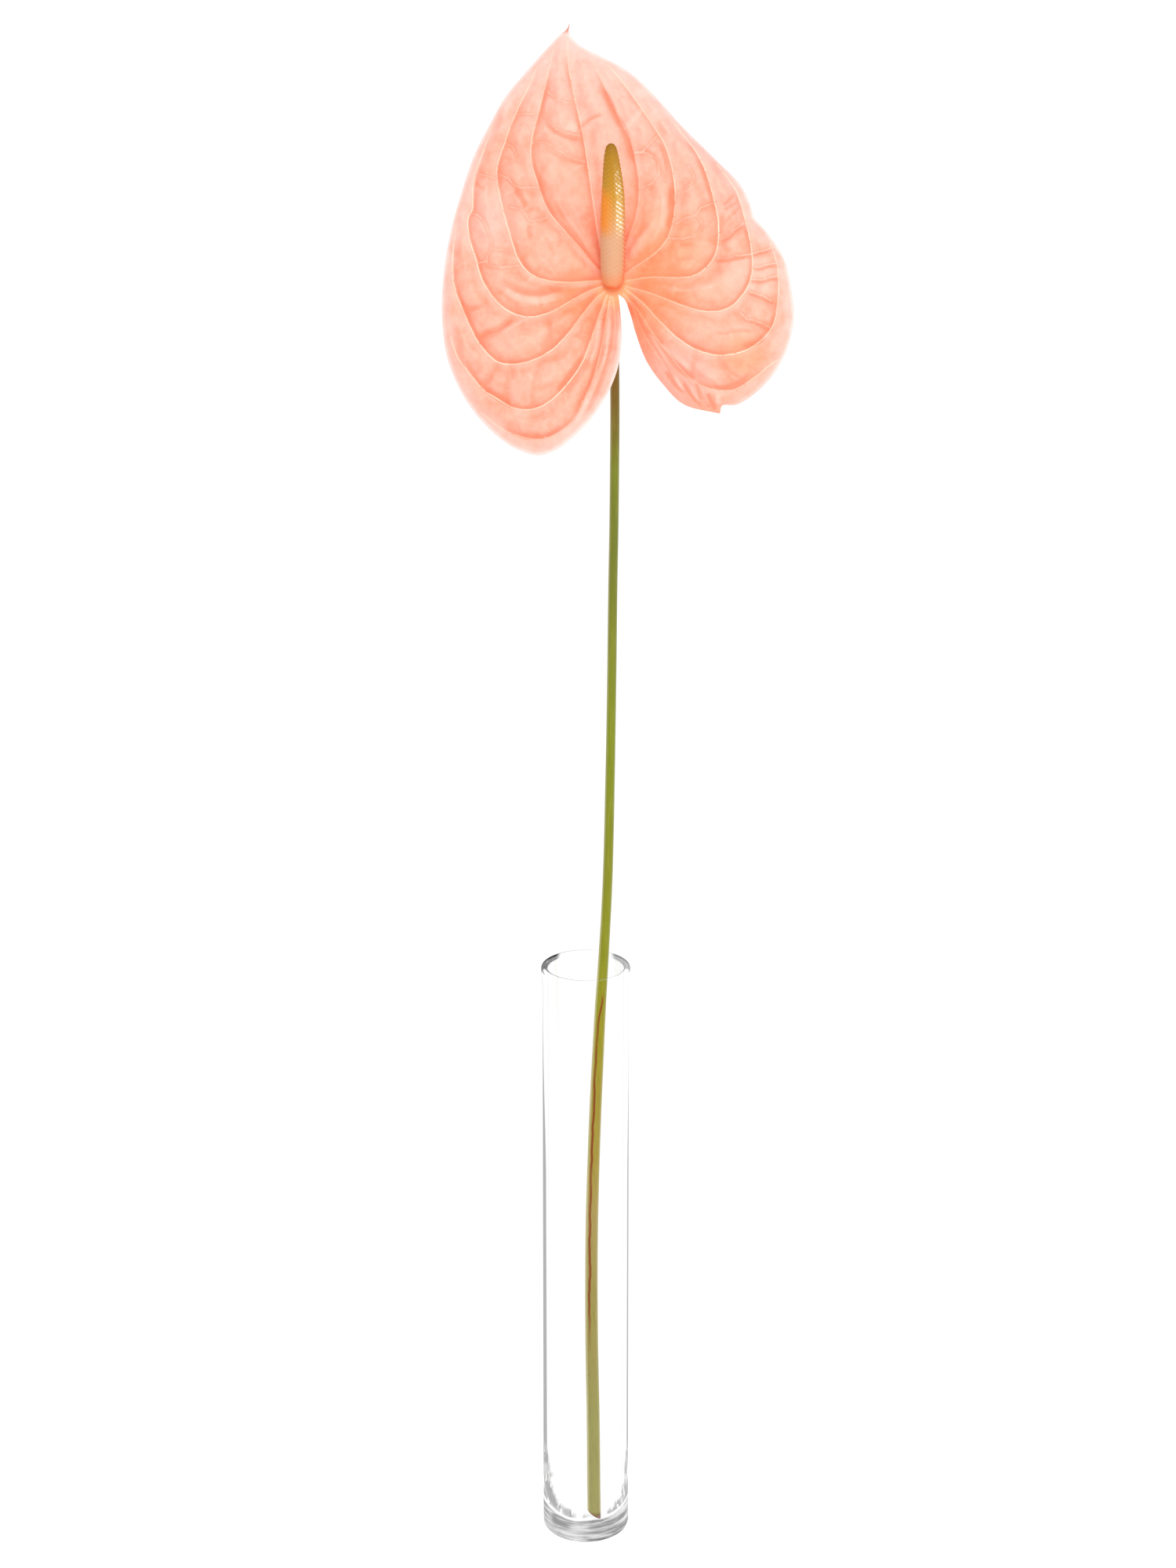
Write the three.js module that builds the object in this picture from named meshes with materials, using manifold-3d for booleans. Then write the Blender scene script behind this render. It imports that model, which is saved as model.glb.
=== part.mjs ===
// A cut anthurium standing in a slim clear glass cylinder vase.
// Millimetres, +Z up, origin at the centre of the vase's flat underside. The flower faces -Y.
import * as THREE from "three";
import { mergeVertices } from "three/addons/utils/BufferGeometryUtils.js";
import Module from "manifold-3d";

// ---------------------------------------------------------------- driving dimensions
const TOUCH_GAP = 0.3; // left between pieces that touch

// Vase: a drawn tube of clear glass with a thick floor and a fire-polished lip
const VASE_HEIGHT = 300;
const VASE_FOOT_RADIUS = 21;
const VASE_NECK_RADIUS = 20.6;
const VASE_LIP_RADIUS = 21.2;
const VASE_LIP_FLARE = 9; // height over which the lip swells out
const VASE_WALL = 2.4;
const VASE_FLOOR = 10;
const VASE_HEEL = 4; // rounding of the outer bottom corner
const VASE_BOWL = 5; // rounding of the inner bottom corner
const VASE_SEGMENTS = 48;

// Stem: centre line from the cut end in the vase to the back of the flower
const STEM_LINE = [
  [4.15, -12.8, 9],
  [3.66, -7.6, 60],
  [2.89, -2.6, 110],
  [2.96, 2.3, 160],
  [4.25, 6.1, 210],
  [6.34, 9.9, 260],
  [8.58, 12.8, 300],
  [10.46, 14.7, 340],
  [11.55, 16.9, 390],
  [12.24, 19.1, 440],
  [12.81, 20.6, 490],
  [13.32, 21.7, 530],
  [13.51, 22.5, 560],
  [13.39, 21.9, 585],
  [13.17, 20.2, 605],
  [12.97, 16.1, 619],
  [12.8, 13, 626],
];
// Stem diameter at each share of its length
const STEM_DIAMETERS = [
  [0, 6.6],
  [0.25, 6.1],
  [0.38, 5.7],
  [0.5, 4.75],
  [0.65, 4.4],
  [0.78, 4.1],
  [0.92, 4.3],
  [1, 5],
];
const STEM_SIDES = 12;
const STEM_RINGS = 44;
const STEM_CUT_SLOPE = 0.7; // the knife's slant, lower on the right
const STEM_FOOT_Z = 12.9; // where the middle of the slanted cut lies

// Blade (spathe): its frame stands at the hub, leaning back from the upright
const HUB = new THREE.Vector3(12.8, 14, 625);
const BLADE_LEAN = THREE.MathUtils.degToRad(22);
const BLADE_THICKNESS = 1;
const HUB_FLAT_RADIUS = 7; // flat seat for the stem behind and the spadix in front

// The blade's outline in its own frame: x to the right, y towards the tip, from the hub.
// Each stretch is one smooth curve, and the stretches meet at the corners of the margin.
const OUTLINE = {
  sinusRight: [[2, -2.5], [5, -5], [7.5, -11.5], [10, -21], [15, -34.5], [22.5, -45], [31.5, -53.5], [48, -57.5]],
  lobeRight: [
    [48, -57.5], [49, -54], [55.5, -53.5], [64.5, -48], [72.5, -39.5], [78, -29.5],
    [81, -18.5], [81.5, -11], [80, 0.5], [77.5, 12], [71, 23], [63.5, 32],
  ],
  shoulderRight: [
    [63.5, 32], [62, 38], [57.5, 47.5], [45, 61], [29, 77], [17, 90],
    [6, 100], [-6.5, 107], [-15, 111.5], [-18.5, 115], [-20.5, 118], [-20, 122.5],
  ],
  shoulderLeft: [
    [-20, 122.5], [-21.5, 119.5], [-25, 116.5], [-30.5, 110.5], [-40, 99.5], [-49.5, 87.5],
    [-57.5, 73], [-64, 59.5], [-69.5, 42.5], [-74, 26], [-77, 8], [-78, -10],
    [-76, -30], [-70.5, -45], [-63, -57], [-51.5, -68.5], [-42, -74], [-34, -76], [-25, -73],
    [-15, -65], [-8, -57], [-1.5, -46], [2, -36], [3.5, -24], [3, -10.5], [2, -2.5],
  ],
};

// Primary veins: each one leaves the hub and arches round towards the tip or the margin.
const VEINS = {
  foldRight: [[4, -2.5], [8, -7.5], [12.5, -19.5], [19, -31.5], [27, -42.5], [35.5, -50], [43, -53.5]],
  right6: [[4.5, -2], [10, -9], [17, -21], [26, -33], [35.5, -41.5], [41, -46], [56, -46.5], [64.5, -40.5], [74, -36.5]],
  right5: [
    [5, 0], [12.5, -6.5], [20, -15.5], [29, -24.5], [37, -29.5], [46.5, -32], [57.5, -30.5],
    [66, -25.5], [72, -18], [74, -7.5], [74.5, 0.5], [74, 9.5], [71, 20],
  ],
  right4: [
    [5.5, 1], [14.5, -2], [31.5, -9.5], [39.5, -12], [48, -12], [54, -9], [60, -1.5],
    [62.5, 6], [62.5, 15.5], [58.5, 35], [55.5, 44], [47, 57],
  ],
  right3: [[5.5, 3.5], [16, 4.5], [34.5, 4], [41, 7.5], [46, 14.5], [47.5, 27], [45.5, 39.5], [39, 59], [28, 75]],
  right2: [[4.5, 6], [8, 8.5], [20, 16.5], [25, 23.5], [27.5, 34], [27.5, 47], [23.5, 64], [13, 81], [3, 95.5], [-3, 103]],
  right1: [[2.5, 7.5], [4.5, 16.5], [10, 32], [11.5, 45], [8, 65.5], [1, 80.5], [-6.5, 97], [-10.5, 106]],
  midrib: [[-1.5, 6.5], [-5.5, 16.5], [-9.5, 39.5], [-13.5, 67], [-17.5, 86], [-20.5, 101.5], [-21, 114]],
  left1: [
    [-4, 6], [-8, 9.5], [-14, 16.5], [-22.5, 25.5], [-30, 35], [-35, 48.5], [-37.5, 58],
    [-37.5, 66], [-33, 85], [-29, 102.5], [-27.5, 110],
  ],
  left2: [
    [-5, 3.5], [-11.5, 3], [-21.5, 2], [-30, 2.5], [-37, 5], [-42.5, 11], [-46.5, 21.5],
    [-52.5, 45.5], [-53, 54.5], [-49.5, 66.5], [-44.5, 80], [-37.5, 95], [-35, 102],
  ],
  left3: [
    [-5, 1], [-11.5, -1.5], [-28.5, -12], [-37, -14.5], [-43.5, -13.5], [-50, -10], [-55.5, -4],
    [-60, 4], [-64.5, 19], [-65, 29.5], [-63.5, 47], [-58, 66.5], [-55, 75],
  ],
  left4: [
    [-4, -1.5], [-8, -4.5], [-14, -12.5], [-21.5, -23], [-28.5, -30], [-37, -34.5], [-45, -36],
    [-52, -35], [-58, -30], [-63, -22.5], [-68, -11.5], [-72.5, 1.5], [-73, 15], [-71.5, 30],
  ],
  left5: [
    [-3, -3], [-6.5, -12.5], [-10, -23.5], [-14.5, -35.5], [-21.5, -45.5], [-29.5, -53], [-37, -56],
    [-45, -55.5], [-52, -51.5], [-59, -47], [-65, -40], [-70.5, -32.5], [-74, -22.5],
  ],
  left6: [
    [-1.5, -3.5], [-3, -12], [-5.5, -27], [-9, -41.5], [-14.5, -53.5], [-19, -61.5], [-25, -66],
    [-33, -69], [-43.5, -67.5], [-52, -63.5], [-60, -57],
  ],
  foldLeft: [[-0.5, -4], [0.5, -14], [-0.5, -31.5], [-4, -44.5], [-10, -55.5], [-16, -62.5]],
};

// Cross veins: the net that ties the primary veins together and quilts the blade between them
const CROSS_VEINS = [
  [[-31.5, 92], [-25, 85], [-18, 83.5]],
  [[-35, 79.5], [-25, 72], [-15.5, 70.5]],
  [[-36.5, 66.5], [-30, 65], [-20, 57.5], [-13, 57]],
  [[-35, 49.5], [-29.5, 45.5], [-24, 48], [-11, 46.5]],
  [[-49.5, 66.5], [-43, 59.5], [-37.5, 58]],
  [[-52.5, 52], [-43.5, 45.5], [-34.5, 45.5]],
  [[-43.5, 45], [-43.5, 39], [-38, 30], [-28.5, 33.5]],
  [[-45, 79.5], [-35, 79.5]],
  [[-63, 53], [-53, 52]],
  [[-65, 34], [-59.5, 31.5], [-55.5, 19], [-57.5, 11.5], [-52, 9], [-42, 11]],
  [[-55.5, 18], [-46, 16.5]],
  [[-68, -11.5], [-56, -4]],
  [[-61.5, -24], [-50.5, -20.5], [-45, -13.5]],
  [[-59.5, -46], [-52.5, -35]],
  [[-50, -52.5], [-46.5, -36.5]],
  [[-32, -32.5], [-35, -39.5], [-37, -56]],
  [[-29.5, -12], [-28, -30]],
  [[-15.5, 2.5], [-20.5, -6.5]],
  [[12.5, 81], [4.5, 74]],
  [[20, 69.5], [13, 62], [9, 61.5]],
  [[9, 61], [14.5, 61], [19.5, 57.5], [20.5, 52], [17.5, 47.5], [11.5, 44.5]],
  [[27.5, 41.5], [36, 48.5], [34, 55]],
  [[26.5, 27.5], [36.5, 31.5], [45.5, 38.5]],
  [[36.5, 31.5], [38.5, 23.5], [46.5, 21.5]],
  [[46.5, 29.5], [55, 40]],
  [[47, 21], [58.5, 31]],
  [[46.5, 14], [53.5, 12], [62, 14]],
  [[62.5, 14.5], [73.5, 16.5]],
  [[62, 2.5], [74.5, 1.5]],
  [[60, -3], [73.5, -7]],
  [[54, -8.5], [60, -14.5], [71.5, -19]],
  [[47.5, -32], [50.5, -39], [55.5, -46.5]],
  [[37, -29.5], [35.5, -41.5]],
  [[-16, 71.5], [-11.5, 76], [2, 77.5]],
  [[-14, 57], [-4.5, 61], [8, 63]],
  [[16, 4.5], [24, 16]],
  [[31.5, -9.5], [36, 4]],
  [[-7.5, 23.5], [-15.5, 27], [-24, 27]],
];

// Blade form, from its flat seat at the hub outwards
const FUNNEL_DEPTH = 7; // the blade rises this far in front of its hub
const FUNNEL_WIDTH = 20;
const SIDES_BACK = 6; // the sides bend back this far at the blade's half width
const BLADE_HALF_WIDTH = 78;
const TIP_BACK = 10; // the tip bends back this far at the blade's reach above the hub
const BLADE_REACH = 118;
const LOBES_BACK = 8; // the ends of the lobes bend back this far
const LOBES_FROM = -30; // from this far below the hub
const LOBES_LENGTH = 45;
// Swellings to the front: height, centre across and along, width across and along
const LOBE_SWELLS = [
  [5, -38, -32, 24, 24],
  [6, 46, -20, 22, 22],
  [5, 80, -10, 13, 26],
];

// Margin: how far in from the edge it curls back, and how steeply: all round, and how much more on the
// right shoulder and beside the sinus
const CURL_WIDTH = { all: 3.5, shoulder: 4.5, sinus: 1.5 };
const CURL_STEEPNESS = { all: 0.3, shoulder: 0.55, sinus: 0.35 };
const SHOULDER_CURL = [40, 66, 22, 24]; // centre and widths of each curl
const SINUS_CURL = [8, -30, 14, 24];
const SINUS_TOP = [3, -4];

// Blade relief: how far the quilting between the veins swells, and how proud the veins stand
const PRIMARY_SWELL = 1.8;
const PRIMARY_SWELL_WIDTH = 6;
const CROSS_SWELL = 0.7;
const CROSS_SWELL_WIDTH = 3.5;
const VEIN_HEIGHT = 0.5;
const VEIN_HALF_WIDTH = 1.25;

// Blade mesh: how far apart its points lie along the margin, along the veins and between them
const MARGIN_STEP = 3.4;
const MARGIN_FINE_STEP = 1.1; // at the tip and in the narrow top of the sinus
const VEIN_STEP = 4.6;
const FILL_STEP = 5.4;

// Spadix: a blunt club that grows from the hub and leans out in front of the blade
const SPADIX_LEAN = THREE.MathUtils.degToRad(15);
const SPADIX_BASE = [-0.5, 4, 3.6]; // centre of its round base from the hub: across, along, in front
const SPADIX_TIP_BEND = 1; // its tip swings this far to the left
// Distance along the spadix from the centre of its round base, and its radius there
const SPADIX_PROFILE = [
  [-4.9, 0], [-4.4, 2.1], [-3.2, 3.7], [-1.4, 4.7], [2, 5.1], [9, 5.3], [17, 5.4], [30, 5.3], [41, 5],
  [49, 4.6], [56, 4], [61.5, 3.2], [65, 2.3], [66.7, 1.3], [67.2, 0],
];
const FLORET_COLUMNS = 24; // two columns a floret: one on its crown, one in the groove beside it
const FLORET_ROWS = 46;
const FLORET_RELIEF = 0.35;

// Colours
const GLASS_COLOUR = 0xf4f8f7;
const STEM_COLOUR = 0x97994a;
const BLADE_COLOUR = 0xfdb498;
const SPADIX_COLOUR = 0xd9a35c;

const wasm = await Module();
wasm.setup();

// ---------------------------------------------------------------- shared helpers
const RIGHT = new THREE.Vector3(1, 0, 0);
const smooth = (from, to, value) => THREE.MathUtils.smoothstep(value, from, to);
const bell = (x, y, cx, cy, sx, sy) => Math.exp(-0.5 * (((x - cx) / sx) ** 2 + ((y - cy) / sy) ** 2));

// The value at t in a list of [t, value] pairs.
function tableAt(table, t) {
  let i = 1;
  while (i < table.length - 1 && table[i][0] < t) i += 1;
  const [[t0, v0], [t1, v1]] = [table[i - 1], table[i]];
  return v0 + (v1 - v0) * THREE.MathUtils.clamp((t - t0) / (t1 - t0), 0, 1);
}

// A ring of points round an axis, starting on its right. radiusAt gives the radius of each point.
function ringOf(centre, axis, sides, radiusAt) {
  const over = axis.clone().cross(RIGHT).normalize();
  const side = over.clone().cross(axis);
  return Array.from({ length: sides }, (_, i) => {
    const angle = (2 * Math.PI * i) / sides;
    return centre
      .clone()
      .addScaledVector(side, radiusAt(i) * Math.cos(angle))
      .addScaledVector(over, radiusAt(i) * Math.sin(angle));
  });
}

// A closed skin over rings of points, its two ends fans round the middles of the end rings. The
// diagonals turn about from one cell to the next, so that every second point can stand as a crown.
function loft(rings) {
  const sides = rings[0].length;
  const middle = (ring) => ring.reduce((sum, p) => sum.add(p), new THREE.Vector3()).divideScalar(sides);
  const positions = [...rings.flat(), middle(rings[0]), middle(rings.at(-1))].flatMap((p) => p.toArray());
  const first = rings.length * sides;
  const index = [];
  for (let i = 0; i < sides; i += 1) {
    const next = (i + 1) % sides;
    for (let r = 0; r < rings.length - 1; r += 1) {
      const [a, b, c, d] = [r * sides + i, r * sides + next, (r + 1) * sides + next, (r + 1) * sides + i];
      if ((i + r) % 2) index.push(a, b, c, a, c, d);
      else index.push(b, c, d, b, d, a);
    }
    const last = (rings.length - 1) * sides;
    index.push(first, next, i, first + 1, last + i, last + next);
  }
  const geometry = new THREE.BufferGeometry();
  geometry.setAttribute("position", new THREE.Float32BufferAttribute(positions, 3));
  geometry.setIndex(index);
  return geometry;
}

function toSolid(geometry) {
  const bare = geometry.clone();
  bare.deleteAttribute("normal");
  bare.deleteAttribute("uv");
  const merged = mergeVertices(bare, 1e-4);
  const mesh = new wasm.Mesh({
    numProp: 3,
    vertProperties: merged.attributes.position.array,
    triVerts: new Uint32Array(merged.index.array),
  });
  return new wasm.Manifold(mesh);
}

function toGeometry(solid) {
  const mesh = solid.getMesh();
  const geometry = new THREE.BufferGeometry();
  geometry.setAttribute("position", new THREE.BufferAttribute(mesh.vertProperties, 3));
  geometry.setIndex(new THREE.BufferAttribute(mesh.triVerts, 1));
  return geometry;
}

// Cuts off what lies beyond a plane, on the side its normal points to.
function cutBeyond(geometry, point, normal) {
  const size = 120;
  const block = new THREE.BoxGeometry(size, size, size);
  block.translate(0, 0, size / 2);
  block.applyQuaternion(new THREE.Quaternion().setFromUnitVectors(new THREE.Vector3(0, 0, 1), normal));
  block.translate(point.x, point.y, point.z);
  return toGeometry(toSolid(geometry).subtract(toSolid(block)));
}

// ---------------------------------------------------------------- vase
function vaseGeometry() {
  const profile = new THREE.Path();
  const innerRadius = VASE_NECK_RADIUS - VASE_WALL;
  const lipMiddle = (VASE_LIP_RADIUS + innerRadius) / 2;
  profile.moveTo(0, 0);
  profile.lineTo(VASE_FOOT_RADIUS - VASE_HEEL, 0);
  profile.absarc(VASE_FOOT_RADIUS - VASE_HEEL, VASE_HEEL, VASE_HEEL, -Math.PI / 2, 0, false);
  const lipEdge = VASE_HEIGHT - VASE_WALL; // where the rounded top of the lip begins
  profile.lineTo(VASE_NECK_RADIUS, VASE_HEIGHT - VASE_LIP_FLARE);
  profile.quadraticCurveTo(VASE_LIP_RADIUS, VASE_HEIGHT - VASE_LIP_FLARE / 2, VASE_LIP_RADIUS, lipEdge);
  profile.quadraticCurveTo(VASE_LIP_RADIUS, VASE_HEIGHT, lipMiddle, VASE_HEIGHT);
  profile.quadraticCurveTo(innerRadius, VASE_HEIGHT, innerRadius, lipEdge);
  profile.lineTo(innerRadius, VASE_FLOOR + VASE_BOWL);
  profile.absarc(innerRadius - VASE_BOWL, VASE_FLOOR + VASE_BOWL, VASE_BOWL, 0, -Math.PI / 2, true);
  profile.lineTo(0, VASE_FLOOR);
  const points = profile.getPoints(3).filter((p, i, all) => i === 0 || p.distanceTo(all[i - 1]) > 1e-3);
  const geometry = new THREE.LatheGeometry(points, VASE_SEGMENTS);
  geometry.rotateX(Math.PI / 2); // the lathe turns about Y, and the vase stands on Z
  return geometry;
}

// ---------------------------------------------------------------- stem
function stemGeometry() {
  const line = new THREE.CatmullRomCurve3(
    STEM_LINE.map((p) => new THREE.Vector3(...p)),
    false,
    "centripetal",
  );
  const rings = [];
  for (let r = 0; r <= STEM_RINGS; r += 1) {
    const share = r / STEM_RINGS;
    const radius = tableAt(STEM_DIAMETERS, share) / 2;
    rings.push(ringOf(line.getPointAt(share), line.getTangentAt(share), STEM_SIDES, () => radius));
  }
  const knife = new THREE.Vector3(-STEM_CUT_SLOPE, 0, -1).normalize();
  const foot = new THREE.Vector3(STEM_LINE[0][0], STEM_LINE[0][1], STEM_FOOT_Z);
  const cut = cutBeyond(loft(rings), foot, knife);
  return cutBeyond(cut, bladePoint(0, 0, -BLADE_THICKNESS - TOUCH_GAP), BLADE_FRONT);
}

// ---------------------------------------------------------------- blade
const BLADE_UP = new THREE.Vector3(0, Math.sin(BLADE_LEAN), Math.cos(BLADE_LEAN));
const BLADE_FRONT = new THREE.Vector3(0, -Math.cos(BLADE_LEAN), Math.sin(BLADE_LEAN));

// A point of the blade's frame: across, towards the tip, and out in front.
function bladePoint(x, y, depth) {
  return HUB.clone()
    .addScaledVector(RIGHT, x)
    .addScaledVector(BLADE_UP, y)
    .addScaledVector(BLADE_FRONT, depth);
}

// The blade's large form: a shallow funnel at the hub, sides and tip bent back, lobes swelling forward.
function bladeForm(x, y) {
  const fromHub = Math.hypot(x, y);
  const away = smooth(HUB_FLAT_RADIUS, 3 * HUB_FLAT_RADIUS, fromHub);
  let depth = FUNNEL_DEPTH * (1 - Math.exp(-((Math.max(0, fromHub - HUB_FLAT_RADIUS) / FUNNEL_WIDTH) ** 2)));
  depth -= SIDES_BACK * (x / BLADE_HALF_WIDTH) ** 2 * away;
  depth -= TIP_BACK * (Math.max(y, 0) / BLADE_REACH) ** 2.2 * away;
  depth -= LOBES_BACK * (Math.max(LOBES_FROM - y, 0) / LOBES_LENGTH) ** 2;
  for (const [height, ...place] of LOBE_SWELLS) depth += height * bell(x, y, ...place) * away;
  return depth;
}

// Distance from a point to a chain of points.
function distanceTo(chain, x, y) {
  let best = Infinity;
  for (let i = 1; i < chain.length; i += 1) {
    const [a, b] = [chain[i - 1], chain[i]];
    const [ex, ey] = [b.x - a.x, b.y - a.y];
    const t = THREE.MathUtils.clamp(((x - a.x) * ex + (y - a.y) * ey) / (ex * ex + ey * ey), 0, 1);
    best = Math.min(best, Math.hypot(x - a.x - t * ex, y - a.y - t * ey));
  }
  return best;
}

const nearest = (chains, x, y) => Math.min(...chains.map((chain) => distanceTo(chain, x, y)));

// A smooth chain through the given points, with its points about step apart.
function chainThrough(points, step) {
  const curve = new THREE.CatmullRomCurve3(
    points.map(([x, y]) => new THREE.Vector3(x, y, 0)),
    false,
    "centripetal",
  );
  return curve.getSpacedPoints(Math.max(2, Math.round(curve.getLength() / step)));
}

// The margin as one closed chain of points, finer at the tip and in the sinus.
function marginChain() {
  const tip = OUTLINE.shoulderLeft[0];
  const chain = [];
  for (const stretch of Object.values(OUTLINE)) {
    const fine = chainThrough(stretch, 0.2);
    let last = fine[0];
    chain.push(last);
    for (const p of fine.slice(1, -1)) {
      const nearTip = Math.hypot(p.x - tip[0], p.y - tip[1]);
      const nearSinus = Math.hypot(p.x - SINUS_TOP[0], p.y - SINUS_TOP[1]);
      const open = smooth(4, 26, Math.min(nearTip, nearSinus));
      const step = MARGIN_FINE_STEP + (MARGIN_STEP - MARGIN_FINE_STEP) * open;
      const left = p.distanceTo(fine.at(-1));
      if (p.distanceTo(last) < step || left < 0.6 * step) continue;
      chain.push(p);
      last = p;
    }
  }
  return chain;
}

function isInside(chain, x, y) {
  let inside = false;
  for (let i = 0, j = chain.length - 1; i < chain.length; j = i, i += 1) {
    const [a, b] = [chain[i], chain[j]];
    if (a.y > y !== b.y > y && x < a.x + ((b.x - a.x) * (y - a.y)) / (b.y - a.y)) inside = !inside;
  }
  return inside;
}

// The edges of a patch of triangles that only one of them has, each in that triangle's direction.
function outerEdges(triangles) {
  const edges = new Map();
  for (const [a, b, c] of triangles) {
    for (const [from, to] of [[a, b], [b, c], [c, a]]) {
      if (!edges.delete(`${to},${from}`)) edges.set(`${from},${to}`, [from, to]);
    }
  }
  return [...edges.values()];
}

// Delaunay triangles of a set of points: each new point replaces the triangles whose circles hold it.
function delaunay(points) {
  const far = 1000;
  const all = [...points, { x: -far, y: -far }, { x: far, y: -far }, { x: 0, y: far }];
  const circle = (a, b, c) => {
    const [p, q, r] = [all[a], all[b], all[c]];
    const [bx, by, cx, cy] = [q.x - p.x, q.y - p.y, r.x - p.x, r.y - p.y];
    const d = 2 * (bx * cy - by * cx);
    const ux = (cy * (bx * bx + by * by) - by * (cx * cx + cy * cy)) / d;
    const uy = (bx * (cx * cx + cy * cy) - cx * (bx * bx + by * by)) / d;
    return { corners: [a, b, c], x: p.x + ux, y: p.y + uy, reach: ux * ux + uy * uy };
  };
  const n = points.length;
  let triangles = [circle(n, n + 1, n + 2)];
  for (let k = 0; k < n; k += 1) {
    const { x, y } = all[k];
    const holdsPoint = (t) => (x - t.x) ** 2 + (y - t.y) ** 2 < t.reach;
    const edges = outerEdges(triangles.filter(holdsPoint).map((t) => t.corners));
    triangles = triangles.filter((t) => !holdsPoint(t));
    for (const [from, to] of edges) triangles.push(circle(from, to, k));
  }
  return triangles.map((t) => t.corners).filter((corners) => corners.every((c) => c < n));
}

// The flat points of the blade, each kept only where it isn't crowded by those before it.
function bladePoints(margin, primaries) {
  const points = [...margin];
  const add = (x, y, room, fromMargin) => {
    if (!isInside(margin, x, y) || distanceTo(margin, x, y) < fromMargin) return;
    if (points.some((p) => Math.hypot(p.x - x, p.y - y) < room)) return;
    points.push({ x, y });
  };
  for (const chain of primaries) for (const p of chain) add(p.x, p.y, 1, 1);
  for (const chain of primaries) {
    chain.forEach((p, i) => {
      const along = chain[Math.min(i + 1, chain.length - 1)].clone().sub(chain[Math.max(i - 1, 0)]);
      along.setLength(VEIN_HALF_WIDTH);
      add(p.x - along.y, p.y + along.x, 1, 1.2);
      add(p.x + along.y, p.y - along.x, 1, 1.2);
    });
  }
  for (const cross of CROSS_VEINS) for (const p of chainThrough(cross, VEIN_STEP)) add(p.x, p.y, 1.6, 1.6);
  const row = (FILL_STEP * Math.sqrt(3)) / 2;
  for (let j = -16; j <= 28; j += 1) {
    for (let i = -17; i <= 17; i += 1) {
      const wobble = 0.3 * Math.sin(12.9 * i + 78.2 * j); // as uneven as grown tissue
      add((i + (j % 2 ? 0.5 : 0)) * FILL_STEP + wobble, j * row + 0.7 * wobble, 0.5 * FILL_STEP, 2);
    }
  }
  return points;
}

// The blade as one thin sheet: its points are lifted to the form with its veins and quilting, its back
// is the same triangles set back by the thickness, and a wall along the margin joins the two.
function bladeGeometry() {
  const margin = marginChain();
  const primaries = Object.values(VEINS).map((points) => chainThrough(points, VEIN_STEP));
  const crosses = CROSS_VEINS.map((points) => chainThrough(points, VEIN_STEP));
  const rim = [...margin, margin[0]];
  const flat = bladePoints(margin, primaries);
  const triangles = delaunay(flat).filter((corners) => {
    const x = corners.reduce((sum, c) => sum + flat[c].x, 0) / 3;
    const y = corners.reduce((sum, c) => sum + flat[c].y, 0) / 3;
    return isInside(margin, x, y);
  });

  const front = [];
  const back = [];
  for (const { x, y } of flat) {
    const depth = (px, py) => bladeForm(px, py) - marginCurl(px, py, distanceTo(rim, px, py));
    const step = 0.5;
    const slopeX = (depth(x + step, y) - depth(x - step, y)) / (2 * step);
    const slopeY = (depth(x, y + step) - depth(x, y - step)) / (2 * step);
    const inward = new THREE.Vector3()
      .addScaledVector(RIGHT, slopeX)
      .addScaledVector(BLADE_UP, slopeY)
      .sub(BLADE_FRONT)
      .setLength(BLADE_THICKNESS);
    const relief = bladeRelief(x, y, nearest(primaries, x, y), nearest(crosses, x, y), distanceTo(rim, x, y));
    const point = bladePoint(x, y, depth(x, y) + relief);
    front.push(point);
    back.push(point.clone().add(inward));
  }

  const n = flat.length;
  const index = triangles.flatMap(([a, b, c]) => [a, b, c, a + n, c + n, b + n]);
  for (const [from, to] of outerEdges(triangles)) index.push(to, from, from + n, to, from + n, to + n);
  const geometry = new THREE.BufferGeometry();
  const positions = [...front, ...back].flatMap((p) => p.toArray());
  geometry.setAttribute("position", new THREE.Float32BufferAttribute(positions, 3));
  geometry.setIndex(index);
  return geometry;
}

// How far the margin curls back: a little all round, most on the right shoulder and beside the sinus.
function marginCurl(x, y, fromMargin) {
  const shoulder = bell(x, y, ...SHOULDER_CURL);
  const sinus = bell(x, y, ...SINUS_CURL);
  const width = CURL_WIDTH.all + CURL_WIDTH.shoulder * shoulder + CURL_WIDTH.sinus * sinus;
  const steepness = CURL_STEEPNESS.all + CURL_STEEPNESS.shoulder * shoulder + CURL_STEEPNESS.sinus * sinus;
  const share = Math.max(0, 1 - fromMargin / width);
  return steepness * width * share * share * smooth(HUB_FLAT_RADIUS - 2, HUB_FLAT_RADIUS + 5, Math.hypot(x, y));
}

// The veins stand proud in valleys between the quilts, which fade towards the margin and the hub.
function bladeRelief(x, y, fromPrimary, fromCross, fromMargin) {
  const away = smooth(HUB_FLAT_RADIUS, HUB_FLAT_RADIUS + 6, Math.hypot(x, y));
  const fade = 0.35 + 0.65 * smooth(0, 7, fromMargin);
  const swell = PRIMARY_SWELL * (1 - Math.exp(-((fromPrimary / PRIMARY_SWELL_WIDTH) ** 2)));
  const quilt = CROSS_SWELL * (1 - Math.exp(-((fromCross / CROSS_SWELL_WIDTH) ** 2)));
  const cord = VEIN_HEIGHT * Math.exp(-((fromPrimary / (0.5 * VEIN_HALF_WIDTH)) ** 2));
  return away * ((swell + quilt) * fade + cord);
}

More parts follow.
